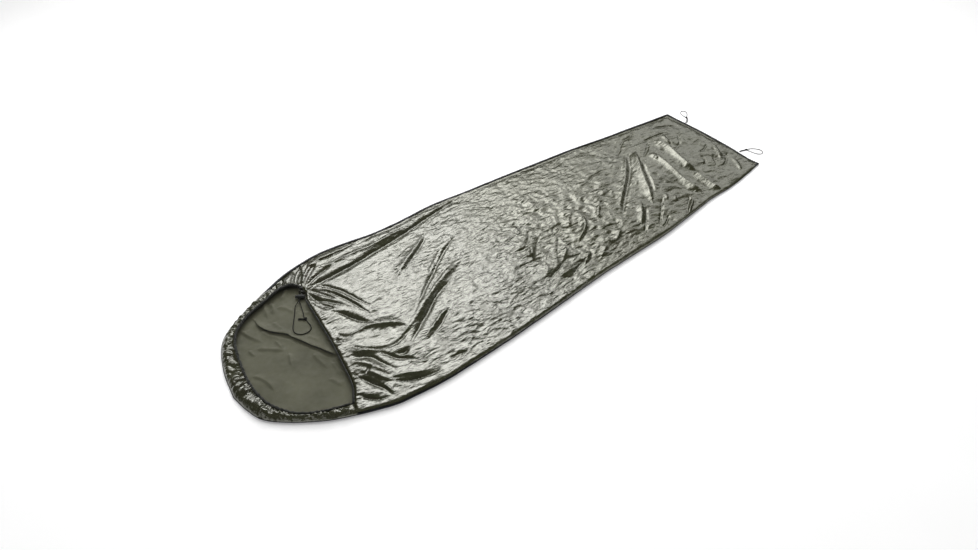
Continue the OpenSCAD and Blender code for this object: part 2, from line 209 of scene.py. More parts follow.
def noise(x, y, seed):
    """Gradient noise of about -0.7 to 0.7, one cell to each unit of x and y."""
    if seed not in TABLES:
        random = np.random.default_rng(seed)
        angle = random.random(4096) * 2 * math.pi
        TABLES[seed] = (random.permutation(4096), np.cos(angle), np.sin(angle))
    order, gx, gy = TABLES[seed]
    x, y = np.broadcast_arrays(np.asarray(x, float), np.asarray(y, float))
    x0, y0 = np.floor(x).astype(int), np.floor(y).astype(int)
    fx, fy = x - x0, y - y0

    def corner(i, j):
        k = order[(order[(x0 + i) % 4096] + y0 + j) % 4096]
        return gx[k] * (fx - i) + gy[k] * (fy - j)

    u, v = fx ** 3 * (fx * (fx * 6 - 15) + 10), fy ** 3 * (fy * (fy * 6 - 15) + 10)
    return mix(mix(corner(0, 0), corner(1, 0), u), mix(corner(0, 1), corner(1, 1), u), v)


def lumps(x, y, size, seed):
    """Gradient noise with cells of this size."""
    return noise(x / size, y / size, seed)


# ---------- the plan, from the CAD ground sheet ----------


def cad_outline():
    """The ground sheet's outline as left, right and foot chains, all from the head or the right."""
    points = np.array([v.co[:2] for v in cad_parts["base_panel"].data.vertices], float)
    points = np.unique(np.round(points, 6), axis=0)
    points = points[np.argsort(np.arctan2(points[:, 1], points[:, 0]))]
    tip = int(np.argmin(points[:, 0]))
    points = np.roll(points, -tip, axis=0)
    right_foot = int(np.argmax(points[:, 0] - points[:, 1]))
    left_foot = int(np.argmax(points[:, 0] + points[:, 1]))
    right = points[:right_foot + 1]
    foot = points[right_foot:left_foot + 1]
    left = np.vstack([points[left_foot:], points[:1]])[::-1]
    return left, right, foot


PUCKER = 1.6 * MM


def puckered(chain, seed):
    """A chain made smooth, with a sewn edge's small in and out waves."""
    path = even(spline(chain, 6), 4 * MM)
    s = travelled(path)
    wave = noise(s / 0.11, seed, 5) + 0.5 * noise(s / 0.035, seed, 6)
    still = ease(s / 0.03) * ease((s[-1] - s) / 0.03)
    return path - (PUCKER * wave * still)[:, None] * left_of(path)


left_cad, right_cad, foot_cad = cad_outline()
LEFT = puckered(left_cad, 1.5)
RIGHT = puckered(right_cad, 2.5)
FOOT = puckered(foot_cad, 3.5)
# All round, from the left foot corner over the head and the foot.
OUTLINE = np.vstack([LEFT[::-1], RIGHT[1:], FOOT[1:]])


def left_y(x):
    return np.interp(x, LEFT[:, 0], LEFT[:, 1])


def right_y(x):
    return np.interp(x, RIGHT[:, 0], RIGHT[:, 1])


def foot_x(y):
    return np.interp(y, FOOT[:, 1], FOOT[:, 0])


def nearest(x, y, path):
    """Distance to a path of 2-D points, the side it lies on (left is above 0), and the share along it."""
    best = np.full(x.shape, np.inf)
    signed = np.zeros(x.shape)
    share = np.zeros(x.shape)
    gone = travelled(path)
    for k in range(len(path) - 1):
        ax, ay = path[k]
        dx, dy = path[k + 1] - path[k]
        length = math.hypot(dx, dy)
        if length < 1e-9:
            continue
        t = np.clip(((x - ax) * dx + (y - ay) * dy) / length ** 2, 0, 1)
        px, py = x - ax - t * dx, y - ay - t * dy
        d = np.hypot(px, py)
        nearer = d < best
        best = np.where(nearer, d, best)
        signed = np.where(nearer, np.where(dx * py - dy * px >= 0, d, -d), signed)
        share = np.where(nearer, (gone[k] + t * length) / gone[-1], share)
    return best, signed, share


# ---------- routes, repeated from the CAD source ----------

HOOD_ROUTE = [
    (-.729, .246, .014), (-.736, .268, .018), (-.760, .285, .020), (-.797, .286, .020),
    (-.868, .261, .020), (-.942, .231, .020), (-1.000, .186, .020), (-1.032, .128, .020),
    (-1.053, .050, .020), (-1.067, -.020, .020), (-1.070, -.088, .020), (-1.062, -.150, .020),
    (-1.037, -.206, .020), (-.996, -.250, .020), (-.942, -.279, .020), (-.900, -.291, .018),
    (-.872, -.296, .015),
]
HEM_ROUTE = [
    (-.862, -.298, .014), (-.853, -.283, .016), (-.827, -.233, .019), (-.802, -.125, .020),
    (-.785, -.046, .020), (-.764, .085, .020), (-.752, .160, .019), (-.747, .188, .017),
]
HEM_TO_EYELET = [
    (-.746, .195, .0162), (-.738, .207, .015), (-.722, .223, .013), (-.717, .237, .0115),
]
FACE_MIDDLE = np.array([-.800, -.010])
EXIT = np.array([-.738, .233, .010])
STEM_ANGLE = math.radians(228)
STEM_WAY = np.array([math.cos(STEM_ANGLE), math.sin(STEM_ANGLE), 0])
SIDE_WAY = np.array([math.sin(STEM_ANGLE), -math.cos(STEM_ANGLE), 0])
STRAND = 1.9 * MM
STEM_STATIONS = [2 * MM, 19 * MM, 36 * MM, 42 * MM]
TAIL_LOOP = [
    (-.787, .190, .0065), (-.804, .164, .0042), (-.824, .134, .004), (-.844, .102, .004),
    (-.847, .080, .004), (-.834, .063, .004), (-.815, .059, .004), (-.799, .066, .004),
    (-.791, .082, .004), (-.790, .106, .004), (-.789, .128, .0042), (-.780, .150, .0044),
    (-.773, .172, .0056),
]
TAIL_KNOT = (-.7895, .118, .0051)
LEFT_LOOP = [
    (1.131, .193, .003), (1.144, .198, .0024), (1.157, .207, .002), (1.166, .221, .0022),
    (1.168, .238, .002), (1.173, .256, .002), (1.186, .268, .002), (1.200, .266, .002),
    (1.203, .253, .002), (1.194, .239, .002), (1.181, .228, .002), (1.170, .217, .0022),
    (1.160, .203, .002), (1.146, .1935, .0024), (1.131, .189, .003),
]
LEFT_KNOT = (1.168, .219, .0032)
RIGHT_LOOP = [
    (1.131, -.105, .003), (1.144, -.1055, .0024), (1.158, -.110, .002), (1.171, -.1145, .0022),
    (1.187, -.121, .002), (1.202, -.135, .002), (1.210, -.152, .002), (1.204, -.168, .002),
    (1.189, -.173, .002), (1.176, -.163, .002), (1.170, -.146, .002), (1.1675, -.129, .002),
    (1.164, -.1165, .0022), (1.155, -.1135, .002), (1.144, -.1095, .0024), (1.131, -.109, .003),
]
RIGHT_KNOT = (1.165, -.114, .0032)
CORD = 3.0 * MM
FOOT_CORD = 2.6 * MM
LEFT_LOOP_LENGTH = 0.22
RIGHT_LOOP_LENGTH = 0.23


def stem_point(out, side):
    return EXIT + out * STEM_WAY + side * SIDE_WAY


# ---------- materials ----------


class Paint:
    """A procedural material: one shader, and the few nodes that its patterns need."""

    def __init__(self, name):
        self.material = bpy.data.materials.new(name)
        self.material.use_nodes = True
        self.tree = self.material.node_tree
        self.shader = self.tree.nodes["Principled BSDF"]
        self.coordinates = self.tree.nodes.new("ShaderNodeTexCoord").outputs["Object"]
        self.normal = None

    def set(self, **values):
        for name, value in values.items():
            self.shader.inputs[name.replace("_", " ")].default_value = value
        return self

    def link(self, a, b):
        self.tree.links.new(a, b)

    def node(self, kind, values=(), **settings):
        made = self.tree.nodes.new(kind)
        for name, value in settings.items():
            setattr(made, name, value)
        for name, value in dict(values).items():
            made.inputs[name].default_value = value
        return made

    def noise(self, scale, detail=3.0, distortion=0.0, place=None):
        made = self.node("ShaderNodeTexNoise", {"Scale": scale, "Detail": detail, "Distortion": distortion})
        self.link(place or self.coordinates, made.inputs["Vector"])
        return made.outputs[0]

    def crease(self, scale, stretch, turn):
        """Sharp valleys along the lines where a soft noise crosses its middle value."""
        place = self.node("ShaderNodeMapping", {"Scale": stretch, "Rotation": (0, 0, turn)})
        self.link(self.coordinates, place.inputs["Vector"])
        level = self.node("ShaderNodeMath", {1: 0.5}, operation="SUBTRACT")
        self.link(self.noise(scale, 2.0, 0.4, place.outputs["Vector"]), level.inputs[0])
        size = self.node("ShaderNodeMath", operation="ABSOLUTE")
        self.link(level.outputs[0], size.inputs[0])
        return size.outputs[0]

    def threads(self, scale, direction):
        made = self.node("ShaderNodeTexWave", {"Scale": scale}, bands_direction=direction)
        self.link(self.coordinates, made.inputs["Vector"])
        return made.outputs["Fac"]

    def weave(self, scale, depth, strength):
        """Warp and weft threads as a bump."""
        both = self.sum(self.threads(scale, "X"), self.threads(scale, "Y"), "MULTIPLY")
        return self.bump(both, depth, strength)

    def sum(self, a, b, kind="ADD"):
        made = self.node("ShaderNodeMath", operation=kind)
        self.link(a, made.inputs[0])
        self.link(b, made.inputs[1])
        return made.outputs[0]

    def range(self, value, low, high, start=0.0, end=1.0):
        made = self.node("ShaderNodeMapRange", {
            "From Min": start, "From Max": end, "To Min": low, "To Max": high})
        self.link(value, made.inputs["Value"])
        return made.outputs["Result"]

    def ramp(self, value, stops):
        made = self.node("ShaderNodeValToRGB")
        elements = made.color_ramp.elements
        while len(elements) < len(stops):
            elements.new(0.5)
        for element, (place, color) in zip(elements, stops):
            element.position = place
            element.color = (*color, 1)
        self.link(value, made.inputs["Fac"])
        return made.outputs["Color"]

    def color(self, value):
        self.link(value, self.shader.inputs["Base Color"])
        return self

    def roughness(self, value, low, high, start=0.3, end=0.7):
        self.link(self.range(value, low, high, start, end), self.shader.inputs["Roughness"])
        return self

    def bump(self, height, distance, strength=1.0):
        made = self.node("ShaderNodeBump", {"Distance": distance})
        if isinstance(strength, float):
            made.inputs["Strength"].default_value = strength
        else:
            self.link(strength, made.inputs["Strength"])
        self.link(height, made.inputs["Height"])
        if self.normal:
            self.link(self.normal, made.inputs["Normal"])
        self.normal = made.outputs["Normal"]
        self.link(self.normal, self.shader.inputs["Normal"])
        return self


# About 0.7 mm between threads.
WEAVE = 420.0


def shell_paint():
    """Thin coated nylon: olive, glossy, covered in fine sharp creases that are crispest in the middle."""
    paint = Paint("shell_cloth").set(IOR=2.0)
    tint = paint.noise(7.0, 4.0)
    paint.color(paint.ramp(tint, [(0.3, (0.019, 0.020, 0.008)), (0.7, (0.032, 0.033, 0.015))]))
    paint.roughness(paint.noise(28.0), 0.17, 0.30)
    across = paint.node("ShaderNodeSeparateXYZ")
    paint.link(paint.coordinates, across.inputs[0])
    along = paint.range(across.outputs["X"], 0, 1, -1.1, 1.1)
    glint = paint.ramp(along, [(0.42, (1.0, 1.0, 0.92)), (0.6, (1.0, 1.0, 0.87))])
    paint.link(glint, paint.shader.inputs["Specular Tint"])
    crispness = ((0.2, 0.4), (0.42, 0.62), (0.52, 0.7), (0.58, 0.5), (0.8, 0.35))
    crisp = paint.ramp(along, [(place, (value, value, value)) for place, value in crispness])
    paint.bump(paint.crease(38.0, (0.5, 1.25, 1), 0.15), 8.0 * MM, crisp)
    paint.bump(paint.crease(80.0, (0.6, 1.2, 1), -0.2), 3.0 * MM, crisp)
    return paint.weave(WEAVE, 0.05 * MM, 0.5).material


def inside_paint():
    """The ground sheet's inner side: matte olive weave."""
    paint = Paint("ground_sheet_inside").set(IOR=1.45, Sheen_Weight=0.15)
    tint = paint.sum(paint.noise(9.0, 5.0), paint.range(paint.noise(240.0, 2.0), -0.06, 0.06))
    paint.color(paint.ramp(tint, [(0.3, (0.061, 0.061, 0.037)), (0.7, (0.094, 0.094, 0.060))]))
    paint.roughness(paint.noise(60.0), 0.62, 0.8)
    paint.bump(paint.noise(45.0, 4.0, 0.3), 1.2 * MM, 0.35)
    return paint.weave(WEAVE, 0.08 * MM, 0.8).material


def mottled(name, tint, low, high, dull, rough, grain, threads=None, stops=(0.3, 0.7), **settings):
    """A material with an uneven colour and gloss, a fine grain and, if it is woven, its threads.

    tint, dull and grain start with the scale and detail of a noise. grain and threads end with the depth and
    strength of a bump.
    """
    paint = Paint(name).set(**settings)
    paint.color(paint.ramp(paint.noise(*tint), [(stops[0], low), (stops[1], high)]))
    paint.roughness(paint.noise(*dull), *rough)
    paint.bump(paint.noise(*grain[:2]), *grain[2:])
    if threads:
        paint.weave(*threads)
    return paint.material


def tape_cloth(name, low, high, rough=(0.45, 0.65)):
    return mottled(name, (35.0, 4.0), low, high, (80.0, 3.0), rough, (130.0, 3.0, 0.5 * MM, 0.4),
                   (520.0, 0.07 * MM, 0.8), IOR=1.5, Sheen_Weight=0.1)


def cord_paint(name, low, high):
    """Braided cord: light and dark strands, dull where the fibres lie open."""
    return mottled(name, (900.0, 2.0), low, high, (300.0, 2.0), (0.55, 0.8), (1600.0, 2.0, 0.15 * MM, 0.6),
                   stops=(0.35, 0.65), IOR=1.4)


def metal_paint(name, low, high):
    return mottled(name, (180.0, 4.0), low, high, (400.0, 3.0), (0.2, 0.38), (700.0, 2.0, 0.05 * MM, 0.5),
                   Metallic=1.0)


SHELL = shell_paint()
INSIDE = inside_paint()
# Blue-black coating.
UNDER = mottled("ground_sheet_outside", (20.0, 4.0), (0.009, 0.011, 0.016), (0.016, 0.019, 0.026),
                (50.0, 3.0), (0.42, 0.62), (90.0, 3.0, 0.6 * MM, 0.4), (WEAVE, 0.06 * MM, 0.6), IOR=1.5)
BINDING = tape_cloth("binding_tape", (0.005, 0.006, 0.008), (0.013, 0.015, 0.018), (0.6, 0.8))
# Shell cloth of the casing and the face hem, coloured near black: painted shade for the shadow in and beside
# them.
SHADED_HEM_CLOTH = tape_cloth("hem_cloth_painted_shade", (0.004, 0.0045, 0.003), (0.010, 0.011, 0.007), (0.6, 0.8))
PATCH_CLOTH = tape_cloth("patch_cloth", (0.03, 0.03, 0.022), (0.05, 0.05, 0.038))
DRAWCORD = cord_paint("olive_cord", (0.002, 0.0022, 0.0014), (0.007, 0.0075, 0.005))
FOOT_LINE = cord_paint("dark_cord", (0.002, 0.0022, 0.002), (0.006, 0.0065, 0.006))
THREAD = cord_paint("thread", (0.012, 0.012, 0.011), (0.030, 0.030, 0.027))
# Moulded plastic with a fine spark-eroded grain.
PLASTIC = mottled("lock_moulding", (140.0, 4.0), (0.010, 0.011, 0.011), (0.022, 0.024, 0.022), (260.0, 3.0),
                  (0.3, 0.5), (1500.0, 3.0, 0.08 * MM, 0.5), stops=(0.3, 0.75), IOR=1.46)
EYELET = metal_paint("eyelet_plate", (0.20, 0.20, 0.20), (0.34, 0.34, 0.33))
STEEL = metal_paint("spring_wire", (0.50, 0.50, 0.52), (0.65, 0.65, 0.67))
# Clear-grey tape, pressed on over a seam.
TAPE = mottled("bonded_tape", (60.0, 4.0), (0.20, 0.20, 0.17), (0.30, 0.30, 0.27), (90.0, 3.0), (0.3, 0.5),
               (200.0, 3.0, 0.3 * MM, 0.5), IOR=1.5, Coat_Weight=0.3)

# ---------- cords ----------


def braid(path, radius, sides=12, pitch=4.2 * MM):
    """Radius of each point of a braided cord: two sets of strands that cross."""
    s = travelled(path)[:, None] / pitch * 2 * math.pi
    turn = np.linspace(0, 2 * math.pi, sides, endpoint=False)[None]
    strands = np.cos(4 * turn + s) * np.cos(4 * turn - s)
    return radius * (0.97 + 0.05 * strands)


def cord_piece(name, points, diameter, material):
    path = even(spline(points, 10), 0.9 * MM)
    return tube(name, path, braid(path, diameter / 2, 16), 16, material), path


def knot(name, middle, turn, size, radius, material, tails=()):
    """A tight overhand knot, with the cut ends of the cord that it ties."""
    t = np.linspace(0, 2 * math.pi, 120)
    ring = np.stack([np.sin(t) + 2 * np.sin(2 * t), np.cos(t) - 2 * np.cos(2 * t), -0.9 * np.sin(3 * t)], -1)
    c, s = math.cos(turn), math.sin(turn)
    spin = np.array([[c, -s, 0], [s, c, 0], [0, 0, 1]])
    ring = (ring * [1.25, 0.85, 1.0]) @ spin.T * size + np.array(middle)
    parts = [tube_part(ring, braid(ring, radius), 12)]
    for tail in tails:
        path = even(spline(tail, 8), 0.8 * MM)
        parts.append(tube_part(path, braid(path, radius), 12))
    return joined(name, parts, material)


def make_cords():
    start = [stem_point(0.2 * MM, STRAND)]
    stem = [stem_point(out, STRAND) for out in STEM_STATIONS]
    back = [stem_point(out, -STRAND) for out in reversed(STEM_STATIONS)]
    finish = [stem_point(0.2 * MM, -STRAND)]
    tail, path = cord_piece("drawcord_loop", [*start, *stem, *TAIL_LOOP, *back, *finish], CORD, DRAWCORD)
    middle = np.array(TAIL_KNOT)
    cut_ends = [
        [middle, middle + [-.009, .005, 0], middle + [-.020, .0135, -.0012]],
        [middle, middle + [-.008, .0085, 0], middle + [-.0175, .0165, -.0012]],
    ]
    tail_knot = knot("drawcord_loop_knot", middle, 0.25, 1.9 * MM, 1.6 * MM, DRAWCORD, cut_ends)
    attach(tail, "drawcord_tail", "cord_tail")
    attach(tail_knot, "drawcord_knot", "cord_tail")
    tuple(path[0])

    held = [
        stem_point(-0.8 * MM, STRAND), stem_point(-8 * MM, STRAND), *HOOD_ROUTE, *HEM_ROUTE, *HEM_TO_EYELET,
        stem_point(-8 * MM, -STRAND), stem_point(-0.8 * MM, -STRAND),
    ]
    path = even(spline(held, 8), 2.5 * MM)
    attach(tube("drawcord_held", path, braid(path, CORD / 2), 12, DRAWCORD), "drawcord")

    loops = (
        ("left", LEFT_LOOP, LEFT_KNOT, LEFT_LOOP_LENGTH, 1.1),
        ("right", RIGHT_LOOP, RIGHT_KNOT, RIGHT_LOOP_LENGTH, -0.6),
    )
    for side, points, middle, length, turn in loops:
        piece, path = cord_piece(f"foot_tie_{side}", points, FOOT_CORD, FOOT_LINE)
        tie = knot(f"foot_tie_knot_{side}", middle, turn, 1.2 * MM, 1.3 * MM, FOOT_LINE)
        attach(piece, f"foot_loop_{side}", f"{side}_foot_loop")
        attach(tie, f"foot_knot_{side}", f"{side}_foot_loop")
        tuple(points[0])


make_cords()

# ---------- shape of the cloth ----------

WALL_RISE = 13 * MM
WALL_WIDTH = 34 * MM
NEAR_WALL_WIDTH = 17 * MM
DOME_RISE = 7 * MM
DOME_WIDTH = 0.24
# In mm.
EDGE_HEIGHT = 4.4
NEAR_EDGE_EXTRA = 5.6


def edge_height(x, y):
    """Height of the sewn edge over the floor: a little more on the sleeper's right."""
    side = ease(-y / 0.22) * ease((1.14 - x) / 0.7)
    return (EDGE_HEIGHT + NEAR_EDGE_EXTRA * side) * MM + 1.0 * MM * lumps(x, y, 0.09, 21)


# Folds: height in mm (below 0 for a valley), how far it falls away on its left and on its right in mm, how
# soon its two ends rise as shares of its length, and the lines that it runs along, through points in mm.
# Nearly all points here and in the ground sheet's folds are the output of a scratch program, which carried
# places picked by eye in the photo to the plan. They were thinned and retyped, and few were changed.
FOLDS = [
    # Along the far edge from the gathered corner.
    (-13, 9, 9, .1, .2, [
        [(-720, 240), (-645, 249), (-545, 255), (-430, 272), (-300, 292), (-150, 324), (-5, 349), (60, 350)],
    ]),
    (-10, 4, 4, .3, .5, [[(-55, 340), (120, 353), (205, 348), (375, 324)]]),
    (5, 7, 34, .3, .5, [[(-665, 221), (-570, 222), (-460, 238), (-260, 270)]]),
    (-5, 10, 16, .4, .5, [[(-670, 252), (-620, 241), (-565, 236), (-508, 241)]]),
    (-10, 4, 4, .2, .3, [[(-635, 348), (-410, 354), (-347, 348)]]),
    (6, 7, 7, .3, .3, [[(-632, 304), (-480, 306), (-397, 304), (-230, 325)]]),
    # Deep pleats out from the gathered corner.
    (-10, 7, 7, .1, .3, [
        [(-796, 287), (-793, 343)], [(-770, 286), (-766, 315), (-759, 350)],
        [(-749, 282), (-726, 317), (-697, 349), (-665, 379)],
        [(-733, 269), (-707, 302), (-673, 336), (-626, 384)],
        [(-723, 254), (-694, 285), (-662, 314), (-612, 352)],
        [(-720, 246), (-686, 265), (-648, 283), (-571, 305)], [(-720, 232), (-690, 236), (-635, 238)],
    ]),
    # From the gathered corner over the chest.
    (-7, 5, 5, .3, .5, [
        [(-714, 241), (-672, 221), (-646, 187), (-624, 137), (-609, 80), (-594, 30), (-584, -22)],
        [(-714, 235), (-671, 184), (-651, 139), (-635, 88), (-622, 34), (-615, -15), (-615, -58)],
    ]),
    (-7, 6, 8, .2, .5, [
        [(-720, 239), (-711, 167), (-687, 129), (-664, 92), (-643, 44)],
        [(-717, 243), (-690, 189), (-674, 151), (-659, 107)],
        [(-722, 221), (-716, 146), (-701, 106), (-677, 64)],
    ]),
    (-5, 7, 7, .3, .5, [[(-734, 166), (-718, 110), (-702, 85)]]),
    (-12, 7, 10, .5, .5, [[(-722, 97), (-689, 62), (-671, 29), (-638, -40), (-619, -70)]]),
    (5, 8, 10, .4, .5, [[(-685, 212), (-656, 169), (-636, 118), (-621, 61), (-610, 5)]]),
    (9, 29, 7, .6, .3, [[(-735, -51), (-656, -55), (-620, -72), (-587, -92), (-562, -112), (-550, -145)]]),
    (-7, 4, 4, .1, .2, [[(-749, -97), (-692, -154), (-656, -171), (-619, -172), (-553, -149)]]),
    # Long folds over the chest.
    (8, 7, 18, .5, .5, [[(-206, 251), (-323, 172), (-427, 107), (-473, 63)]]),
    (-5, 4, 5, .3, .4, [
        [(-215, 235), (-275, 192), (-335, 152), (-390, 118), (-435, 85)],
        [(-209, 140), (-266, 105), (-321, 64), (-372, 23)],
    ]),
    (-10, 6, 6, .3, .4, [
        [(-108, 143), (-154, 149), (-198, 131), (-255, 96), (-349, 25), (-444, -51), (-526, -116)],
    ]),
    (10, 11, 36, .5, .4, [
        [(-136, 24), (-184, 33), (-235, 23), (-288, 4), (-344, -20), (-398, -49), (-497, -109), (-545, -138),
         (-621, -170)],
    ]),
    (-12, 9, 6, .5, .3, [
        [(-245, 4), (-311, -33), (-357, -49), (-399, -68), (-441, -98), (-535, -163), (-611, -218)],
    ]),
    (-5, 4, 4, .3, .4, [[(-251, 36), (-299, 19), (-346, -5), (-397, -37), (-442, -65)]]),
    (-7, 6, 5, .5, .5, [[(-354, -135), (-398, -151), (-442, -177), (-490, -205), (-582, -241)]]),
    (5, 4, 9, .3, .3, [[(-386, -135), (-439, -161), (-539, -213)]]),
    # From the face hem.
    (-6, 4, 4, .1, .4, [[(-748, -23), (-730, -49), (-698, -57)], [(-767, -43), (-743, -57), (-723, -72)]]),
    (-8, 5, 15, .4, .6, [
        [(-773, -118), (-753, -150), (-731, -162), (-716, -179), (-709, -207), (-682, -288)],
    ]),
    (-10, 6, 11, .5, .5, [
        [(-702, -163), (-673, -197), (-660, -223), (-626, -261), (-605, -284)],
        [(-660, -201), (-631, -219), (-592, -211)],
    ]),
    (-10, 6, 14, .4, .6, [[(-805, -200), (-790, -233), (-763, -291), (-756, -323), (-752, -366)]]),
    (-9, 5, 7, .4, .5, [
        [(-835, -276), (-817, -309), (-792, -335), (-757, -347)],
        [(-737, -294), (-693, -321), (-655, -335), (-612, -348), (-555, -362)],
    ]),
    (5, 20, 7, .4, .5, [
        [(-787, -194), (-760, -231), (-738, -275), (-714, -315)], [(-736, -277), (-689, -298), (-581, -346)],
        [(-771, -97), (-736, -136), (-683, -167)], [(-793, -146), (-759, -183), (-730, -239), (-705, -290)],
    ]),
    (5, 6, 6, .2, .4, [
        [(-758, -124), (-722, -147), (-658, -186)], [(-756, -297), (-749, -323), (-757, -347)],
    ]),
    (-6, 4, 4, .3, .3, [
        [(-737, -206), (-761, -220), (-774, -230)], [(-537, -327), (-502, -333), (-462, -342)],
    ]),
    # The crumpled patch in the middle.
    (-6, 4, 4, .2, .2, [
        [(77, 18), (104, 5), (158, -23)], [(140, -54), (163, -34), (190, -32), (218, -39)],
        [(176, -52), (203, -66), (239, -71), (270, -64)], [(240, -134), (297, -133)],
        [(281, -159), (323, -153), (361, -161), (390, -168)], [(80, 16), (56, -18), (28, -40), (5, -45)],
        [(-71, -36), (-34, -58), (34, -60), (110, -61), (160, -70), (207, -84)],
        [(-112, -136), (-82, -132), (-16, -136), (23, -139)],
        [(-50, -253), (-17, -232), (20, -221), (79, -197), (121, -209), (154, -214)],
        [(34, -272), (63, -261), (112, -244), (147, -237)],
    ]),
    (-4, 4, 4, .2, .2, [
        [(26, -98), (63, -54), (94, -41)], [(141, -86), (103, -123), (62, -169)],
        [(-156, -189), (-121, -184), (-55, -175)], [(149, -137), (139, -173), (175, -187)],
    ]),
    (9, 6, 11, .2, .3, [
        [(298, -39), (273, -83), (244, -114), (211, -133), (167, -159)], [(24, -67), (4, -95), (-15, -123)],
        [(391, -40), (354, -67), (334, -99)],
    ]),
    (6, 6, 11, .3, .3, [
        [(268, -7), (239, -32), (217, -62)], [(432, 3), (397, -28), (373, -58)],
        [(56, -165), (37, -192), (14, -223)], [(249, -223), (215, -248), (177, -268)],
        [(177, -211), (145, -235), (110, -257)], [(4, -166), (-10, -197), (-44, -231)],
        [(119, -143), (99, -170), (64, -193)], [(356, -187), (320, -213), (282, -235)],
        [(41, -58), (17, -91), (-15, -123)], [(272, -190), (275, -222), (300, -227)],
        [(-2, -251), (34, -252), (68, -245)],
    ]),
    # Foot end.
    (-8, 10, 8, .3, .3, [
        [(760, 171), (700, 112), (651, 58), (584, 3), (530, -40), (428, -126), (373, -185)],
    ]),
    (12, 6, 18, .15, .2, [
        [(774, 150), (703, 54), (659, -11), (621, -70), (561, -158)],
        [(826, 100), (808, 20), (792, -61), (781, -117), (777, -167), (770, -235)],
        [(901, 168), (908, 112), (905, 66), (887, 11), (876, -37), (870, -105)],
        [(852, -101), (852, -147), (843, -250)],
    ]),
    (6, 5, 11, .3, .3, [
        [(741, 176), (664, 94), (575, 11), (503, -45), (428, -110)], [(816, 106), (807, 75), (792, 39)],
        [(960, 173), (946, 132), (933, 103)], [(1085, 12), (1060, -48), (1017, -110)],
        [(1069, -104), (1055, -151), (1016, -213)], [(546, -104), (483, -170), (420, -231)],
    ]),
    (-5, 4, 5, .2, .3, [
        [(902, 281), (857, 255), (805, 245), (767, 225), (716, 186), (664, 150)],
        [(849, 189), (902, 188), (994, 177)], [(1080, -83), (1029, -121), (976, -144)],
        [(532, -144), (489, -191), (441, -232), (381, -284)], [(718, -199), (665, -241), (606, -284)],
        [(632, -138), (570, -190), (516, -236), (463, -280)], [(881, 174), (824, 130), (761, 93)],
        [(742, 79), (687, -7), (641, -77), (596, -135)],
    ]),
    (-4, 4, 4, .3, .3, [
        [(965, 242), (1007, 229), (1054, 203), (1091, 173)], [(998, 51), (1036, 51), (1080, 57)],
        [(977, 149), (942, 106), (923, 71), (966, 77), (1010, 123), (1079, 162)],
        [(1069, 15), (1014, -11), (980, -4)], [(409, 90), (466, 106), (519, 127), (592, 123)],
        [(469, -285), (520, -263), (566, -235)], [(1026, -50), (988, -98), (955, -137)],
        [(972, -27), (957, -72), (916, -97)], [(428, -2), (464, 3), (509, 10)],
    ]),
    (5, 4, 9, .3, .3, [
        [(720, -217), (669, -252), (624, -282)], [(678, -158), (644, -199)], [(656, -132), (622, -173)],
        [(346, -218), (374, -225), (409, -222)],
    ]),
]
PINCH = (-.733, .240, .0125)
PINCH_REACH = 13 * MM
WANDER = 2.5 * MM


def fold_heights(x, y, fold):
    """Heights of one entry of a fold list, line by line."""
    height, left, right, start, end, lines = fold
    reach = 4 * max(left, right) * MM
    for line in lines:
        path = spline(np.array(line) * MM, 6)
        low, high = path.min(0) - reach, path.max(0) + reach
        near = (x > low[0]) & (x < high[0]) & (y > low[1]) & (y < high[1])
        px, py = x[near], y[near]
        _, s, t = nearest(px, py, path)
        taper = ease(t / start) * ease((1 - t) / end)
        s = s + WANDER * (lumps(px, py, 0.045, 31) + 0.3 * lumps(px, py, 0.016, 34))
        width = np.where(s > 0, left, right) * MM * (0.2 + 0.8 * taper)
        width *= 1 + 0.2 * lumps(px, py, 0.05, 32)
        swell = 1 + 0.25 * lumps(px, py, 0.08, 33)
        made = np.zeros(x.shape)
        made[near] = height * MM * swell * taper ** 0.8 * np.exp(-np.abs(s / width) ** 1.5)
        yield made


def inside(x, y, corners, soft):
    """1 inside a polygon of these corners, listed anticlockwise, falling to 0 over soft outside it."""
    corners = np.array(corners)
    deepest = np.full(x.shape, np.inf)
    for a, b in zip(corners, np.roll(corners, -1, axis=0)):
        d = unit(b - a)
        deepest = np.minimum(deepest, d[0] * (y - a[1]) - d[1] * (x - a[0]))
    return ease(1 + deepest / soft)


# Crease sizes: width of a cell, height, how much longer than wide, seed.
FINE_CREASES = [(34 * MM, 5.2 * MM, 2.4, 41), (19 * MM, 3.4 * MM, 2.0, 42), (11 * MM, 1.4 * MM, 1.8, 43)]
LARGE_CREASES = [(60 * MM, 7.5 * MM, 1.3, 44), (32 * MM, 6.0 * MM, 1.2, 45)]
CRUMPLED_PATCH = [(.18, .18), (-.02, .02), (.05, -.23), (.42, -.14), (.50, .03)]
GRAIN = math.radians(-2)
# How far creases stray from straight, in cells.
STRAY = 0.45


def creases(x, y, sizes):
    """Height of sharp creases: valleys in the first size, ridges in the next, and so on."""
    made = np.zeros(x.shape)
    for k, (cell, height, stretch, seed) in enumerate(sizes):
        wx = x + STRAY * cell * lumps(x, y, 1.7 * cell, seed + 20)
        wy = y + STRAY * cell * lumps(x, y, 1.7 * cell, seed + 40)
        along = (wx * math.cos(GRAIN) + wy * math.sin(GRAIN)) / (cell * stretch)
        across = (-wx * math.sin(GRAIN) + wy * math.cos(GRAIN)) / cell
        sharp = np.abs(noise(along, across, seed))
        made += height * (0.25 - sharp if k % 2 else sharp - 0.25)
    return made


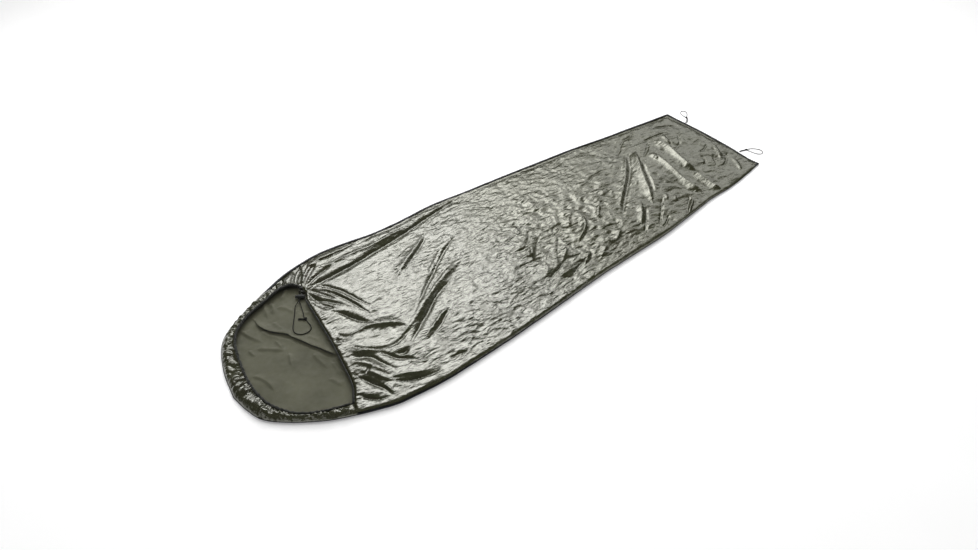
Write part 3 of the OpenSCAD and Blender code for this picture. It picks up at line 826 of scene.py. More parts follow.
def crumple(x, y):
    """Height of the creases: fine ones all over, and large ones where the cloth is crumpled most."""
    patch = inside(x, y, CRUMPLED_PATCH, 0.09)
    foot = ease((x - 0.38) / 0.25)
    chest = 1 - ease((x + 0.15) / 0.3)
    front = ease((-0.35 - x) / 0.25)
    fine = (1 - 0.55 * patch) * (1 - 0.6 * foot) * (1 - 0.1 * chest) * (1 - 0.4 * front)
    large = 1.1 * patch + 0.6 * foot * (1 - patch) + 0.32 * chest
    return fine * creases(x, y, FINE_CREASES) + large * creases(x, y, LARGE_CREASES)


OUTLINE_COARSE = even(np.vstack([OUTLINE, OUTLINE[:1]]), 24 * MM)
LOWEST = 3.0 * MM
HIGHEST = 42 * MM
# A groove beside the far seam, over the middle of the bag and the foot.
GROOVE_DEPTH = 11 * MM
GROOVE_WIDTH = 4.5 * MM


def body_height(x, y):
    """Height of the upper cloth over the floor without folds or creases, and the distance to the edge."""
    d, _, _ = nearest(x, y, OUTLINE_COARSE)
    head = ease((-0.55 - x) / 0.5)
    foot = ease((x - 0.7) / 0.4)
    hood = ease((-0.78 - x) / 0.12)
    near_side = np.maximum(ease(-y / 0.2) * ease((1.15 - x) / 0.1), hood)
    width = mix(WALL_WIDTH, NEAR_WALL_WIDTH, near_side) * (1 + 0.25 * lumps(x, y, 0.13, 51))
    t = np.clip(d / width, 0, 1)
    steep = np.sqrt(np.clip(1 - (1 - t) ** 2, 0, 1))
    soft = ease((d - 6 * MM) / width)
    steepness = np.maximum(ease(-y / 0.12 + 0.3) * ease((1.16 - x) / 0.1), hood)
    near_foot = ease((x - 0.3) / 0.4) * ease(-y / 0.12)
    wall = mix(soft, steep, steepness) * WALL_RISE * (1 - 0.25 * foot) * (1 - 0.3 * near_foot)
    dome = DOME_RISE * ease(d / DOME_WIDTH) * (1 - 0.4 * foot) * (1 - 0.5 * head)
    swell = 3.0 * MM * lumps(x, y, 0.21, 52) + 2.2 * MM * lumps(x, y, 0.1, 53)
    inset = (15 + 3 * noise(x / 0.15, 4.4, 54)) * MM
    groove = np.exp(-((d - inset) / GROOVE_WIDTH) ** 2) * ease(y / 0.1) * ease((x + 0.45) / 0.2)
    groove *= 1 + noise(x / 0.08, 0.5, 55)
    return edge_height(x, y) + wall + dome + swell * ease(d / 0.05) - GROOVE_DEPTH * groove, d


def gathered_in(x, y, z):
    """Draws heights down to the cord's height at the gathered corner."""
    near = np.exp(-((x - PINCH[0]) ** 2 + (y - PINCH[1]) ** 2) / PINCH_REACH ** 2)
    return mix(z, PINCH[2], near)


def folds_height(x, y):
    """Height of all the folds, and how far each place lies from any, from 0 on a fold to 1."""
    total = np.zeros(x.shape)
    most = np.zeros(x.shape)
    for fold in FOLDS:
        for made in fold_heights(x, y, fold):
            total += made
            most = np.maximum(most, np.abs(made))
    return total, 1 - 0.8 * ease(most / (5 * MM))


# ---------- top sheet ----------

FRONT_EDGE = [
    (-.874, -.338), (-.868, -.310), (-.860, -.297), (-.8505, -.282), (-.8245, -.233), (-.7995, -.125),
    (-.7825, -.046), (-.7615, .085), (-.7495, .160), (-.7435, .190), (-.730, .214), (-.7235, .236),
    (-.722, .252), (-.706, .290), (-.685, .330),
]
HOOD_SPLIT_X = -.662
FOOT_CORNER_X = float(foot_cad[:, 0].min())
COARSE_ROWS, COARSE_COLUMNS = 261, 91


def down_the_bag(rows):
    """Shares of the way from the face to the foot, closer together at the face."""
    s = np.linspace(0, 1, rows)[:, None]
    return 0.8 * s + 0.2 * s ** 2


def top_plan(rows, columns):
    """Plan of the top sheet as a grid, from face to foot and from right to left, and its front edge."""
    f = down_the_bag(rows)
    t = np.linspace(0, 1, columns)[None]
    v = 0.65 * t + 0.35 * (1 - np.cos(math.pi * t)) / 2
    edge = spline([*FRONT_EDGE, (HOOD_SPLIT_X, float(left_y(HOOD_SPLIT_X)))], 8)
    right_x = mix(edge[0, 0], FOOT_CORNER_X, f)
    left_x = mix(edge[-1, 0], FOOT_CORNER_X, f)
    right = np.stack([right_x, right_y(right_x)], -1)
    left = np.stack([left_x, left_y(left_x)], -1)
    front = at(edge, v[0] * travelled(edge)[-1])
    straight = mix(right[0], left[0], v[0][:, None])
    plan = mix(right, left, v[..., None]) + ((1 - f) ** 4)[..., None] * (front - straight)[None]
    plan[..., 0] += f ** 6 * (foot_x(plan[..., 1]) - FOOT_CORNER_X)
    return plan[..., 0], plan[..., 1], edge


# The face hem's height over the floor at these places across the bag.
HEM_Y = [-.338, -.300, -.233, -.125, .160, .190, .230]
HEM_HEIGHT = np.array([5, 10, 14.5, 15.6, 14.6, 11.5, 9]) * MM
HEM_WIDTH = 5.5 * MM
FRONT_LENGTH = 0.8
# The cloth behind the hem is drawn into tucks, and lies a little lower.
TUCK_RISE, TUCK_REACH = 15 * MM, 28 * MM
DIP, DIP_REACH = 5.5 * MM, 45 * MM
# The sheet's least height away from its edges.
LEAST_HEIGHT = 6.5 * MM


def top_surface(rows, columns, creased):
    """Points of the top sheet, with its folds and creases or without."""
    x, y, edge = top_plan(rows, columns)
    z, d = body_height(x, y)
    if creased:
        folds, clear = folds_height(x, y)
        z += folds * ease((d - 2 * MM) / (14 * MM))
        z += crumple(x, y) * clear * ease((d - 3 * MM) / (25 * MM))
    front, _, share = nearest(x, y, edge[::2])
    run = share * FRONT_LENGTH
    tucks = np.abs(noise(run / (17 * MM), front / (60 * MM), 35))
    tucks = tucks + 0.5 * np.abs(noise(run / (10 * MM), front / (40 * MM), 36)) - 0.3
    z += TUCK_RISE * tucks * np.exp(-front / TUCK_REACH) * ease((d - 4 * MM) / (22 * MM))
    z -= DIP * np.exp(-front / DIP_REACH) * ease((d - 4 * MM) / (30 * MM))
    uneven = 1 + 0.45 * noise(y / 0.012, x / 0.05, 34)
    to_hem = np.exp(-(front / (HEM_WIDTH * uneven)) ** 2) * ease((d - 2 * MM) / (30 * MM))
    to_hem *= ease((0.275 - y) / 0.02)
    z = gathered_in(x, y, mix(z, np.interp(y, HEM_Y, HEM_HEIGHT), to_hem))
    z = np.maximum(z, mix(edge_height(x, y), LEAST_HEIGHT, ease(d / (30 * MM))))
    return np.stack([x, y, np.minimum(z, HIGHEST)], -1)


def finer(grid):
    """A grid with a point between each two, on a smooth curve through their neighbours."""
    for _ in range(2):
        p = np.concatenate([2 * grid[:1] - grid[1:2], grid, 2 * grid[-1:] - grid[-2:-1]])
        middle = (9 * (p[1:-2] + p[2:-1]) - p[:-3] - p[3:]) / 16
        made = np.empty((2 * len(grid) - 1, *grid.shape[1:]))
        made[::2] = grid
        made[1::2] = middle
        grid = made.swapaxes(0, 1)
    return grid


def smoothed(grid):
    """A grid of moves without its ripples from one point to the next. Its edges stay."""
    for _ in range(2):
        middle = 0.25 * grid[:-2] + 0.5 * grid[1:-1] + 0.25 * grid[2:]
        grid = np.concatenate([grid[:1], middle, grid[-1:]]).swapaxes(0, 1)
    return grid


# How much longer the sheet's front edge was cut than it is gathered to, over what stretch of the edge,
# and how far down the bag its fullness reaches.
GATHER = 0.13
GATHER_MIDDLE = 0.845
GATHER_HALF = 0.075
GATHER_REACH = 0.42
# The same at the front edge's right end.
HEM_GATHER = 0.04
HEM_GATHER_WIDTH = 0.2
# Slack of the whole sheet, along and across.
SLACK = 1.015
SIM_FRAMES = 30
# How firmly the columns next to the sewn sides are held.
HALF_PINNED = 0.6
# What lies under the sheet: how far below its height without folds, at the edge and in the middle, in mm.
STUFFING_BELOW = (3.0, 7.0)
CLOTH_GAP = 1.0 * MM
FRICTION = 8.0
CLOTH = {
    "quality": 5, "mass": 0.02, "air_damping": 3.0, "bending_stiffness": 0.02, "vertex_group_mass": "pinned",
    "tension_stiffness": 12.0, "compression_stiffness": 12.0, "shear_stiffness": 6.0,
    "tension_damping": 4.0, "compression_damping": 4.0, "shear_damping": 4.0,
}


def simulated(start, rest, pinned, under):
    """Where a cloth of this rest shape settles from a start, over what lies under it."""
    rows, columns = start.shape[:2]
    cloth = mesh_object("cloth_work", start, grid_faces(rows, columns), SHELL)
    cloth.shape_key_add(name="start")
    key = cloth.shape_key_add(name="cut")
    key.data.foreach_set("co", rest.reshape(-1).astype(np.float32))
    group = cloth.vertex_groups.new(name=CLOTH["vertex_group_mass"])
    for weight in np.unique(pinned):
        if weight > 0:
            group.add(np.flatnonzero(pinned.reshape(-1) == weight).tolist(), float(weight), "REPLACE")
    stuffing = mesh_object("stuffing_work", under, grid_faces(*under.shape[:2]), SHELL)
    collision = stuffing.modifiers.new("collision", "COLLISION")
    collision.settings.thickness_outer = CLOTH_GAP
    collision.settings.cloth_friction = FRICTION
    modifier = cloth.modifiers.new("cloth", "CLOTH")
    for name, value in CLOTH.items():
        setattr(modifier.settings, name, value)
    modifier.settings.rest_shape_key = key
    modifier.collision_settings.distance_min = CLOTH_GAP
    modifier.collision_settings.use_self_collision = False
    modifier.point_cache.frame_start = 1
    modifier.point_cache.frame_end = SIM_FRAMES
    scene = bpy.context.scene
    for step in range(1, SIM_FRAMES + 1):
        scene.frame_set(step)
    depsgraph = bpy.context.evaluated_depsgraph_get()
    settled = cloth.evaluated_get(depsgraph).data
    made = np.empty(rows * columns * 3, np.float32)
    settled.vertices.foreach_get("co", made)
    bpy.data.objects.remove(cloth)
    bpy.data.objects.remove(stuffing)
    scene.frame_set(1)
    return made.reshape(rows, columns, 3).astype(float)


def settle_top(start):
    """The top sheet as first shaped, let go as a cloth that was cut fuller than it is sewn."""
    rows, columns = start.shape[:2]
    f = down_the_bag(rows)
    v = np.linspace(0, 1, columns)[None]
    middle = start.mean((0, 1))
    rest = (start - middle) * [SLACK, SLACK, 1] + middle
    spread = ease((v - GATHER_MIDDLE + GATHER_HALF) / (2 * GATHER_HALF)) - 0.5
    hem = 0.5 * ease(v / HEM_GATHER_WIDTH) - 0.5
    rest[..., 1] += (GATHER * spread + HEM_GATHER * hem) * (1 - ease(f * 2.0 / GATHER_REACH))
    pinned = np.zeros((rows, columns))
    pinned[0] = pinned[-1] = 1
    pinned[:, 0] = pinned[:, -1] = 1
    pinned[:, 1] = pinned[:, -2] = HALF_PINNED
    under = start[::2, ::2].copy()
    height, d = body_height(under[..., 0], under[..., 1])
    under[..., 2] = np.maximum(height - mix(*STUFFING_BELOW, ease(d / 0.05)) * MM, 1.0 * MM)
    return simulated(start, rest, pinned, under)


def make_top():
    start = top_surface(COARSE_ROWS, COARSE_COLUMNS, False)
    points = top_surface(2 * COARSE_ROWS - 1, 2 * COARSE_COLUMNS - 1, True)
    settled = settle_top(start)
    points = points + finer(smoothed(settled - start))
    points[..., 2] = np.clip(points[..., 2], LOWEST, HIGHEST)
    rows, columns = points.shape[:2]
    piece = mesh_object("top_sheet", points, grid_faces(rows, columns), SHELL)
    attach(piece, "top_panel")


make_top()

# ---------- hood rim ----------

RIM_ROWS, RIM_COLUMNS = 900, 34
RIM_LENGTH = 1.25
# How much fatter the bunched cloth is at the gathered corner, and how far along it reaches.
BUNCH = 0.35
BUNCH_REACH = 45 * MM
# How far inside the casing's middle the rim ends and how far over it. The second is where it is bunched.
RIM_INSET = (2.5 * MM, -4.5 * MM)
RIM_RISE = (2.0 * MM, -2.0 * MM)
BULGE = 5.0 * MM
TUNNEL_SIDES = 14


def angles(path):
    """Directions from the middle of the face opening to each point, without jumps."""
    return np.unwrap(np.arctan2(path[:, 1] - FACE_MIDDLE[1], path[:, 0] - FACE_MIDDLE[0]))


def rim_rows():
    """For each row, its point on the outline, its point on the casing and its share of the way round."""
    share = np.linspace(0, 1, RIM_ROWS)
    route = spline(HOOD_ROUTE, 8)
    casing = at(route, share * travelled(route)[-1])
    gone = travelled(OUTLINE)
    angle, way = angles(OUTLINE), angles(casing)
    way += 2 * math.pi * round((angle[0] - way[0]) / (2 * math.pi))
    reach = np.interp(way, angle, gone)
    first = gone[np.argmin(np.abs(LEFT[::-1, 0] - HOOD_SPLIT_X))]
    last = gone[len(LEFT) - 1 + np.argmin(np.abs(RIGHT[:, 0] - FRONT_EDGE[0][0]))]
    reach += (first - reach[0]) * (1 - ease(share / 0.16)) + (last - reach[-1]) * ease((share - 0.9) / 0.1)
    return at(OUTLINE, reach), casing, share


def ruck_pattern(s, v, cell, stretch, seed):
    """Sharp rucks across the rim: valleys below 0 with round tops between them."""
    return np.abs(noise(s / cell, v * stretch[0] + stretch[1], seed)) - 0.22


def make_rim():
    outer, casing, share = rim_rows()
    v = np.linspace(0, 1, RIM_COLUMNS)[None]
    bunched = np.exp(-share * RIM_LENGTH / BUNCH_REACH)[:, None]
    inner = casing[:, :2] - mix(*RIM_INSET, bunched) * left_of(casing[:, :2])
    x = mix(outer[:, 0:1], inner[:, 0:1], v)
    y = mix(outer[:, 1:2], inner[:, 1:2], v)
    z, d = body_height(x, y)
    z += folds_height(x, y)[0] * ease((d - 2 * MM) / (8 * MM))
    s = share[:, None] * RIM_LENGTH
    drift = 6 * MM * noise(s / 0.06, v * 1.5, 64)
    wide = ruck_pattern(s + drift, v, 38 * MM, (0.9, 0), 61)
    narrow = ruck_pattern(s + drift, v, 21 * MM, (1.4, 3), 62)
    fine = ruck_pattern(s + 0.5 * drift, v, 10 * MM, (1.3, 7), 67)
    swell = noise(s / (44 * MM), v * 2.0, 65)
    start = ease((share - 0.06) / 0.10)[:, None] * ease((1 - share) / 0.02)[:, None]
    bulge = BULGE * np.sin(math.pi * v) ** 0.8
    strength = start * ease(v / 0.12) * (0.5 + 0.5 * v)
    rucks = 16 * MM * wide + 9 * MM * narrow + 6 * MM * swell + 6 * MM * v ** 2 * fine
    z += start * bulge + strength * rucks
    rise = mix(*RIM_RISE, bunched) + start * 8 * MM * (wide + narrow)
    z = gathered_in(x, y, mix(z, casing[:, 2:3] + rise, ease((v - 0.74) / 0.26)))
    outward = unit(outer - inner)[:, None]
    push = 2.5 * MM * start * np.sin(math.pi * v) * noise(s / (17 * MM), v * 2, 66)
    x = x + push * outward[..., 0]
    y = y + push * outward[..., 1]
    z = np.clip(z, edge_height(x, y) - 0.5 * MM, HIGHEST)
    points = np.stack([x, y, z], -1)
    piece = mesh_object("hood_rim", points, grid_faces(RIM_ROWS, RIM_COLUMNS, flip=True), SHELL)
    attach(piece, "hood_panel")


make_rim()


def ruched_tunnel(name, node, points, radius, pitch, deep, seed):
    """A cloth tunnel with its cloth pushed up into small rucks, and bunched at its start."""
    path = even(spline(points, 8), 1.6 * MM)
    s = travelled(path)[:, None]
    turn = np.linspace(0, 2 * math.pi, TUNNEL_SIDES, endpoint=False)[None]
    rucks = np.abs(noise(s / pitch + 0.4 * np.sin(turn), 0.8 * np.cos(turn) + 5, seed)) - 0.2
    bunched = 1 + BUNCH * np.exp(-s / BUNCH_REACH)
    # The tunnel's cloth is coloured near black as painted shade.
    piece = tube(name, path, radius * bunched * (1 + deep * rucks), TUNNEL_SIDES, SHADED_HEM_CLOTH)
    attach(piece, node)


ruched_tunnel("casing_tunnel", "drawcord_channel", HOOD_ROUTE, 4.4 * MM, 12 * MM, 1.3, 71)
ruched_tunnel("face_hem_tunnel", "face_hem", HEM_ROUTE, 2.8 * MM, 16 * MM, 0.35, 72)

# ---------- ground sheet ----------

SHEET_THICK = 0.8 * MM
MAIN_CREASE = (12, 13, 4, .2, .1, [
    [(-924, 239), (-919, 186), (-909, 149), (-891, 122), (-868, 98), (-854, 64), (-825, -6), (-785, -99)],
])
FLOOR_FOLDS = [
    MAIN_CREASE,
    (3, 4, 16, .2, .2, [
        [(-932, 209), (-929, 159), (-920, 122), (-902, 96), (-880, 70), (-850, 0), (-812, -95)],
    ]),
    (5, 13, 5, .2, .3, [
        [(-982, 96), (-951, 69), (-908, 32)], [(-980, 205), (-973, 164), (-947, 103)],
        [(-1046, -2), (-1027, -32), (-1018, -66), (-1017, -102)],
    ]),
    (6, 7, 6, .2, .3, [
        [(-856, 279), (-872, 241), (-885, 196)], [(-843, 262), (-849, 229), (-865, 205)],
        [(-766, 292), (-787, 269), (-809, 248)],
    ]),
    (4, 10, 5, .2, .3, [
        [(-841, 229), (-818, 211), (-804, 181), (-783, 158)], [(-852, -35), (-848, -72), (-846, -117)],
        [(-821, -99), (-822, -136), (-830, -173)], [(-924, 161), (-923, 136), (-904, 104), (-882, 98)],
        [(-867, -159), (-855, -179), (-847, -212)], [(-881, 175), (-877, 141), (-866, 121)],
    ]),
    (6, 9, 4, .3, .1, [[(-807, -99), (-786, -112)]]),
    (4, 9, 4, .3, .3, [
        [(-781, 150), (-765, 137), (-752, 115)], [(-829, 50), (-811, 24), (-805, -4)],
        [(-907, 20), (-919, -15), (-927, -42)], [(-913, 93), (-914, 65), (-915, 43)],
        [(-1002, 106), (-1000, 82), (-994, 66)],
    ]),
]
# Heights of its inner side where it lies flat, and under the cord loop.
FLAT_HEIGHT = 1.4 * MM
UNDER_CORD = 2.2 * MM
FINE_ROWS_END = -.62
# How far the main crease has fallen over towards the head, as a share of its height, and the way it fell.
LEANING = 0.9
LEANING_WAY = (-0.92, -0.38)


def floor_height(x, y):
    """Height of the ground sheet's inner side, and how freely it wrinkles there."""
    _, d = body_height(x, y)
    lift = 1 - ease(d / (16 * MM))
    z = FLAT_HEIGHT + (edge_height(x, y) - FLAT_HEIGHT) * lift ** 1.5
    loose = ease((d - 8 * MM) / (30 * MM)) * ease((-0.5 - x) / 0.15)
    wrinkles = 1.8 * MM * lumps(x, y, 0.09, 81) + creases(x, y, [(48 * MM, 1.8 * MM, 1.3, 83)])
    wrinkles += 0.8 * MM * lumps(x, y, 0.03, 82)
    for fold in FLOOR_FOLDS:
        wrinkles += sum(fold_heights(x, y, fold))
    cord_gap, _, _ = nearest(x, y, np.array(TAIL_LOOP)[:, :2])
    pressed = UNDER_CORD + 0.8 * np.maximum(cord_gap - 4 * MM, 0)
    return np.clip(z + wrinkles * loose, 1.0 * MM, pressed + lift), loose


def make_ground_sheet():
    tip = OUTLINE[:, 0].min()
    head = tip + (FINE_ROWS_END - tip) * (np.linspace(0.02, 1, 190) ** 1.3)
    rest = np.linspace(FINE_ROWS_END, FOOT_CORNER_X, 34)[1:]
    f_x = np.concatenate([[tip + 0.2 * MM], head, rest])[:, None]
    t = np.linspace(0, 1, 196)[None]
    v = 0.6 * t + 0.4 * (1 - np.cos(math.pi * t)) / 2
    x = np.broadcast_to(f_x, (len(f_x), v.shape[1])).copy()
    y = mix(right_y(f_x), left_y(f_x), v)
    x += ease((x - 0.7) / (FOOT_CORNER_X - 0.7)) ** 2 * (foot_x(y) - FOOT_CORNER_X)
    z, loose = floor_height(x, y)
    over = LEANING * sum(fold_heights(x, y, MAIN_CREASE)) * loose
    x, y = x + LEANING_WAY[0] * over, y + LEANING_WAY[1] * over
    upper = np.stack([x, y, z], -1)
    lower = upper - [0, 0, SHEET_THICK]
    rows, columns = x.shape
    count = rows * columns
    faces = grid_faces(rows, columns)
    under = len(faces)
    faces += grid_faces(rows, columns, start=count, flip=True)
    ring = list(range(columns)) + [i * columns + columns - 1 for i in range(1, rows)]
    ring += [(rows - 1) * columns + j for j in range(columns - 2, -1, -1)]
    ring += [i * columns for i in range(rows - 2, 0, -1)]
    faces += [[a, b, b + count, a + count] for a, b in zip(ring, ring[1:] + ring[:1])]
    piece = mesh_object("ground_sheet", np.stack([upper, lower]), faces, INSIDE)
    piece.data.materials.append(UNDER)
    piece.data.polygons.foreach_set("material_index", [0] * under + [1] * (len(faces) - under))
    attach(piece, "base_panel")


make_ground_sheet()

# ---------- sewn edge ----------

BINDING_WIDTH = 8.5 * MM
BINDING_THICK = 2.2 * MM
BINDING_OVERHANG = 0.6 * MM
# The place in the section where the stitches run.
STITCHED = 9
STITCH, STITCH_GAP = 2.8 * MM, 4.2 * MM


def binding_section():
    """The folded tape's section: distance inwards and height round the sewn edge."""
    width, half = BINDING_WIDTH, BINDING_THICK / 2
    bend = [(-half * math.cos(a), half * math.sin(a)) for a in np.linspace(-1.2, 1.2, 7)]
    top = [(width * k, half + 0.3 * MM * math.sin(3.1 * k)) for k in (0.15, 0.4, 0.7, 0.95)]
    tip = [(width, half * 0.5), (width * 0.96, half * 0.2)]
    lower_tip = [(width * 0.96, -half * 0.2), (width, -half * 0.5)]
    low = [(width * k, -half - 0.3 * MM * math.sin(3.1 * k)) for k in (0.95, 0.7, 0.4, 0.15)]
    return np.array(bend + top + tip + lower_tip + low)


def edge_strip(path):
    """Sections of a folded tape along an edge path. Inwards is on the path's left."""
    section = binding_section()
    s = travelled(path)
    tilt = 0.18 + 0.25 * noise(s / 0.04, 3.3, 91)[:, None]
    wide = 1 + 0.12 * noise(s / 0.02, 7.1, 92)[:, None]
    a = section[:, 0] * wide - BINDING_OVERHANG
    b = section[:, 1]
    reach = a * np.cos(tilt) - b * np.sin(tilt)
    rise = a * np.sin(tilt) + b * np.cos(tilt)
    xy = path[:, None] + reach[..., None] * left_of(path)[:, None]
    height = np.maximum(edge_height(path[:, :1], path[:, 1:]) + rise + 0.3 * MM, 0.2 * MM)
    return np.concatenate([xy, height[..., None]], -1)


def stitch(start, end, radius=0.38 * MM):
    """One stitch of thread, thick in its middle and sunk at both ends."""
    path = np.array([start, mix(start, end, 0.5) + [0, 0, 0.15 * MM], end])
    path[[0, 2], 2] -= 0.25 * MM
    return tube_part(path, np.array([0.6, 1.0, 0.6]) * radius, 6)


def stitch_row(path):
    """Stitches along a 3-D path."""
    starts = np.arange(2 * MM, travelled(path)[-1] - STITCH, STITCH_GAP)
    return [stitch(a, b) for a, b in zip(at(path, starts), at(path, starts + STITCH))]


def stitching(name, parts, node=None):
    return attach(joined(name, parts, THREAD), node)


def make_binding(name, node, path):
    rings = edge_strip(even(path, 3 * MM))
    piece = mesh_object(name, rings, loft_faces(*rings.shape[:2]), BINDING)
    attach(piece, node)
    stitching(name + "_stitches", stitch_row(rings[:, STITCHED] + [0, 0, 0.1 * MM]))


def outline_part(start, end):
    """The outline from one distance to another, anticlockwise, so that inwards is on its left."""
    gone = travelled(OUTLINE)
    return at(OUTLINE, np.linspace(start, end, 2 + int(abs(end - start) / (3 * MM))))


left_length = travelled(LEFT)[-1]
foot_start = left_length + travelled(RIGHT)[-1]
foot_end = foot_start + travelled(FOOT)[-1]
left_split = float(np.interp(.684, -LEFT[::-1, 0], travelled(LEFT[::-1])))
right_split = left_length + float(np.interp(-.878, RIGHT[:, 0], travelled(RIGHT)))

make_binding("side_binding_left", "side_seam_left", outline_part(0.004, left_split))
make_binding("hood_binding", "hood_seam", outline_part(left_split + 0.002, right_split - 0.002))
make_binding("side_binding_right", "side_seam_right", outline_part(right_split, foot_start + 0.001))
make_binding("foot_binding", "foot_seam", outline_part(foot_start + 0.002, foot_end - 0.002))

# ---------- seam tapes, bar tacks and the eyelet's patch ----------

TAPE_OUTER, TAPE_INNER = 22 * MM, 36 * MM
TAPE_HALF = 0.25 * MM


def make_tape(name, node, chain, inward):
    """Bonded tape on the ground sheet beside a seam. inward is 1 where inwards is on the chain's left."""
    path = even(chain, 5 * MM)
    s = travelled(path)[:, None]
    into = inward * left_of(path)[:, None]
    across = np.linspace(0, 1, 9)[None]
    sway = 0.7 * MM * noise(s / 0.05, across * 0.7, 101)
    reach = mix(TAPE_OUTER, TAPE_INNER, across) + sway
    plan = path[:, None] + reach[..., None] * into
    z, _ = floor_height(plan[..., 0], plan[..., 1])
    z = z + 0.6 * MM + 0.25 * MM * np.abs(noise(s / 0.012, across * 2, 102))
    half = TAPE_HALF * (1 - 0.8 * np.abs(2 * across - 1) ** 8)
    top = np.concatenate([plan, (z + half)[..., None]], -1)
    low = np.concatenate([plan, (z - half)[..., None]], -1)[:, ::-1]
    rings = np.concatenate([top, low], 1)
    piece = mesh_object(name, rings, loft_faces(*rings.shape[:2], flip=inward < 0), TAPE)
    attach(piece, node)


def between(chain, axis, low, high):
    return chain[(chain[:, axis] > low) & (chain[:, axis] < high)]


make_tape("bonded_tape_left", "seam_tape_left", between(LEFT, 0, -.636, 1.038), -1)
make_tape("bonded_tape_right", "seam_tape_right", between(RIGHT, 0, -.794, 1.027), 1)
make_tape("bonded_tape_foot", "seam_tape_foot", between(FOOT, 1, -.180, .251), 1)


TACK_LENGTH, TACK_HALF_WIDTH = 14 * MM, 1.5 * MM
TACK_TURNS = 56
TACK_THREAD, LAID_THREAD = 0.3 * MM, 0.35 * MM


def bar_tack(x, y, turn):
    """A close zigzag of thread over two threads laid along it."""
    k = np.arange(TACK_TURNS + 1)
    along = (k / TACK_TURNS - 0.5) * TACK_LENGTH
    zigzag = np.where(k % 2, TACK_HALF_WIDTH, -TACK_HALF_WIDTH)
    c, s = math.cos(turn), math.sin(turn)
    threads = (
        (zigzag, TACK_THREAD, 0.25 * MM),
        (np.full(len(k), 0.5 * MM), LAID_THREAD, 0),
        (np.full(len(k), -0.5 * MM), LAID_THREAD, 0),
    )
    parts = []
    for across, radius, lift in threads:
        px, py = x + c * along - s * across, y + s * along + c * across
        inward, _, _ = nearest(px, py, OUTLINE)
        z = edge_height(px, py) + 1.9 * MM + 0.18 * inward + lift
        parts.append(tube_part(np.stack([px, py, z], -1), radius, 6))
    return parts


def make_bar_tacks():
    middle = BINDING_WIDTH / 2
    left, right = -.672, -.864
    corner = bar_tack(left, float(left_y(left)) - middle, math.radians(-10))
    corner += bar_tack(right, float(right_y(right)) + middle, math.radians(-28))
    foot = []
    for y in (.191, -.107):
        foot += bar_tack(float(foot_x(y)) - middle, y, math.radians(90))
    stitching("bar_tacks_corner", corner, "corner_bartacks")
    stitching("bar_tacks_foot", foot, "foot_bartacks")


make_bar_tacks()

PATCH_HALF = (12.0 * MM, 7.5 * MM)
PATCH_MIDDLE = -3.85 * MM
PATCH_HOLE = 5.05 * MM


def make_eyelet_patch():
    """A stitched square of cloth round the eyelet, with a little pucker in it."""
    turn = np.linspace(0, 2 * math.pi, 96, endpoint=False)[None]
    c, s = np.cos(turn), np.sin(turn)
    rim = 1 / (np.abs(c / PATCH_HALF[0]) ** 5 + np.abs(s / PATCH_HALF[1]) ** 5) ** 0.2
    share = np.linspace(0, 1, 10)[:, None]
    radius = mix(PATCH_HOLE, rim, share)
    pucker = 0.45 * MM * noise(4 * c + 9, 4 * s + 9, 103) * share
    half = 0.7 * MM * (1 - 0.75 * share ** 8)

    def placed(out, radius):
        way = np.stack([radius * c * SIDE_WAY[k] + out * STEM_WAY[k] for k in range(2)], -1)
        up = radius * s
        return EXIT + np.concatenate([way, up[..., None]], -1)

    front = placed(PATCH_MIDDLE + pucker + half, radius)
    back = placed(PATCH_MIDDLE + pucker - half, radius)[::-1]
    rings = np.concatenate([front, back])
    rows, columns = rings.shape[:2]
    faces = grid_faces(rows, columns, around=True)
    faces += [[(rows - 1) * columns + j, j, (j + 1) % columns, (rows - 1) * columns + (j + 1) % columns]
              for j in range(columns)]
    piece = mesh_object("eyelet_square", rings, faces, PATCH_CLOTH)
    attach(piece, "eyelet_patch")
    row = placed(PATCH_MIDDLE + pucker[8:9] + 0.75 * MM, radius[8:9] * 0.98)[0]
    stitching("eyelet_square_stitches", stitch_row(np.vstack([row, row[:1]])))


make_eyelet_patch()

# ---------- CAD pieces that stay ----------

for node, material in (
    ("eyelet", EYELET), ("cord_lock_spring", STEEL),
    ("cord_lock_body", PLASTIC), ("cord_lock_plunger", PLASTIC),
):
    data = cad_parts[node].data
    data.materials.clear()
    data.materials.append(material)

# ---------- floor and light ----------


FLOOR_HALF = 9.0


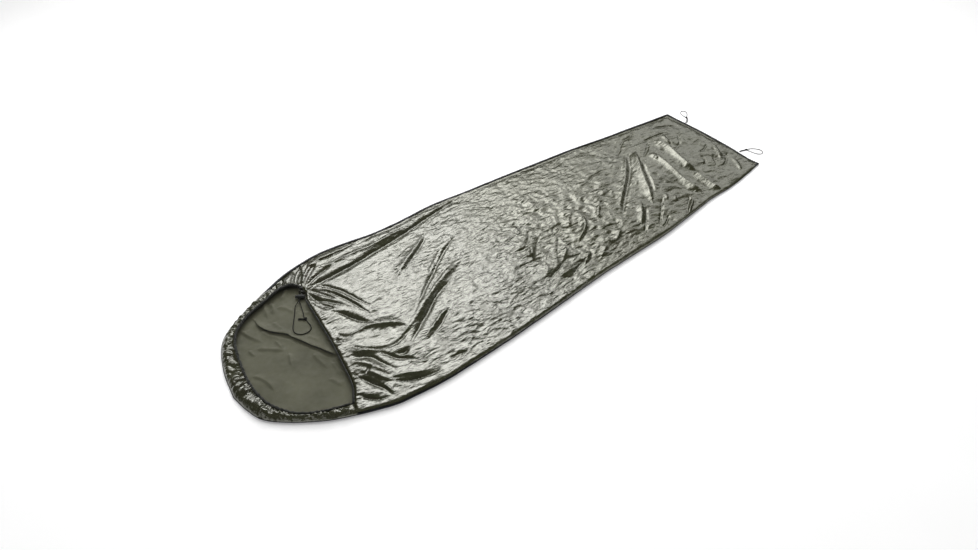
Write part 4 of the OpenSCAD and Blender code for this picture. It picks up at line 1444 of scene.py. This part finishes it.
def make_floor():
    paint = Paint("studio_floor")
    paint.set(Roughness=0.9, IOR=1.3, Emission_Color=(1, 1, 1, 1), Emission_Strength=0.2)
    paint.color(paint.ramp(paint.noise(3.0, 2.0), [(0.3, (0.84, 0.84, 0.84)), (0.7, (0.86, 0.86, 0.86))]))
    a = FLOOR_HALF
    floor = mesh_object("floor", [(-a, -a, 0), (a, -a, 0), (a, a, 0), (-a, a, 0)], [[0, 1, 2, 3]],
                        paint.material, False)


def softbox(name, place, aim, width, height, radiance, glossy=True):
    """An area light that isn't seen itself, and is seen in glossy cloth only if glossy."""
    data = bpy.data.lights.new(name, "AREA")
    data.shape = "RECTANGLE"
    data.size, data.size_y = width, height
    data.energy = radiance * math.pi * width * height
    light = bpy.data.objects.new(name, data)
    light.location = place
    way = Vector(aim) - Vector(place)
    light.rotation_mode = "QUATERNION"
    light.rotation_quaternion = way.to_track_quat("-Z", "Y")
    light.visible_glossy = glossy
    light.visible_camera = False
    bpy.context.scene.collection.objects.link(light)


def make_light():
    world = bpy.data.worlds.new("studio")
    bpy.context.scene.world = world
    world.use_nodes = True
    background = world.node_tree.nodes["Background"]
    background.inputs["Color"].default_value = (1.0, 1.0, 0.98, 1)
    background.inputs["Strength"].default_value = 0.07
    softbox("key_wide", (0.75, 1.95, 2.0), (-0.1, 0, 0), 3.2, 2.3, 1.2)
    softbox("key_middle", (0.78, 1.93, 1.98), (-0.05, 0, 0), 2.3, 1.5, 2.7)
    softbox("key_core", (0.74, 1.90, 1.95), (-0.05, 0, 0), 1.5, 0.8, 2.9)
    softbox("foot_fill", (3.1, 1.45, 1.5), (0.9, 0, 0), 1.7, 1.5, 1.5)
    softbox("low_side", (5.5, -7.5, 2.3), (0, 0, 0.1), 12.2, 2.6, 1.1)
    softbox("low_head", (-9.0, -1.45, 2.75), (0, 0, 0.1), 7.5, 2.3, 1.1)
    softbox("overhead", (0, 0, 4.5), (0, 0, 0), 9.0, 9.0, 1.15, glossy=False)
    bpy.context.scene.view_settings.view_transform = "Standard"


make_floor()
make_light()
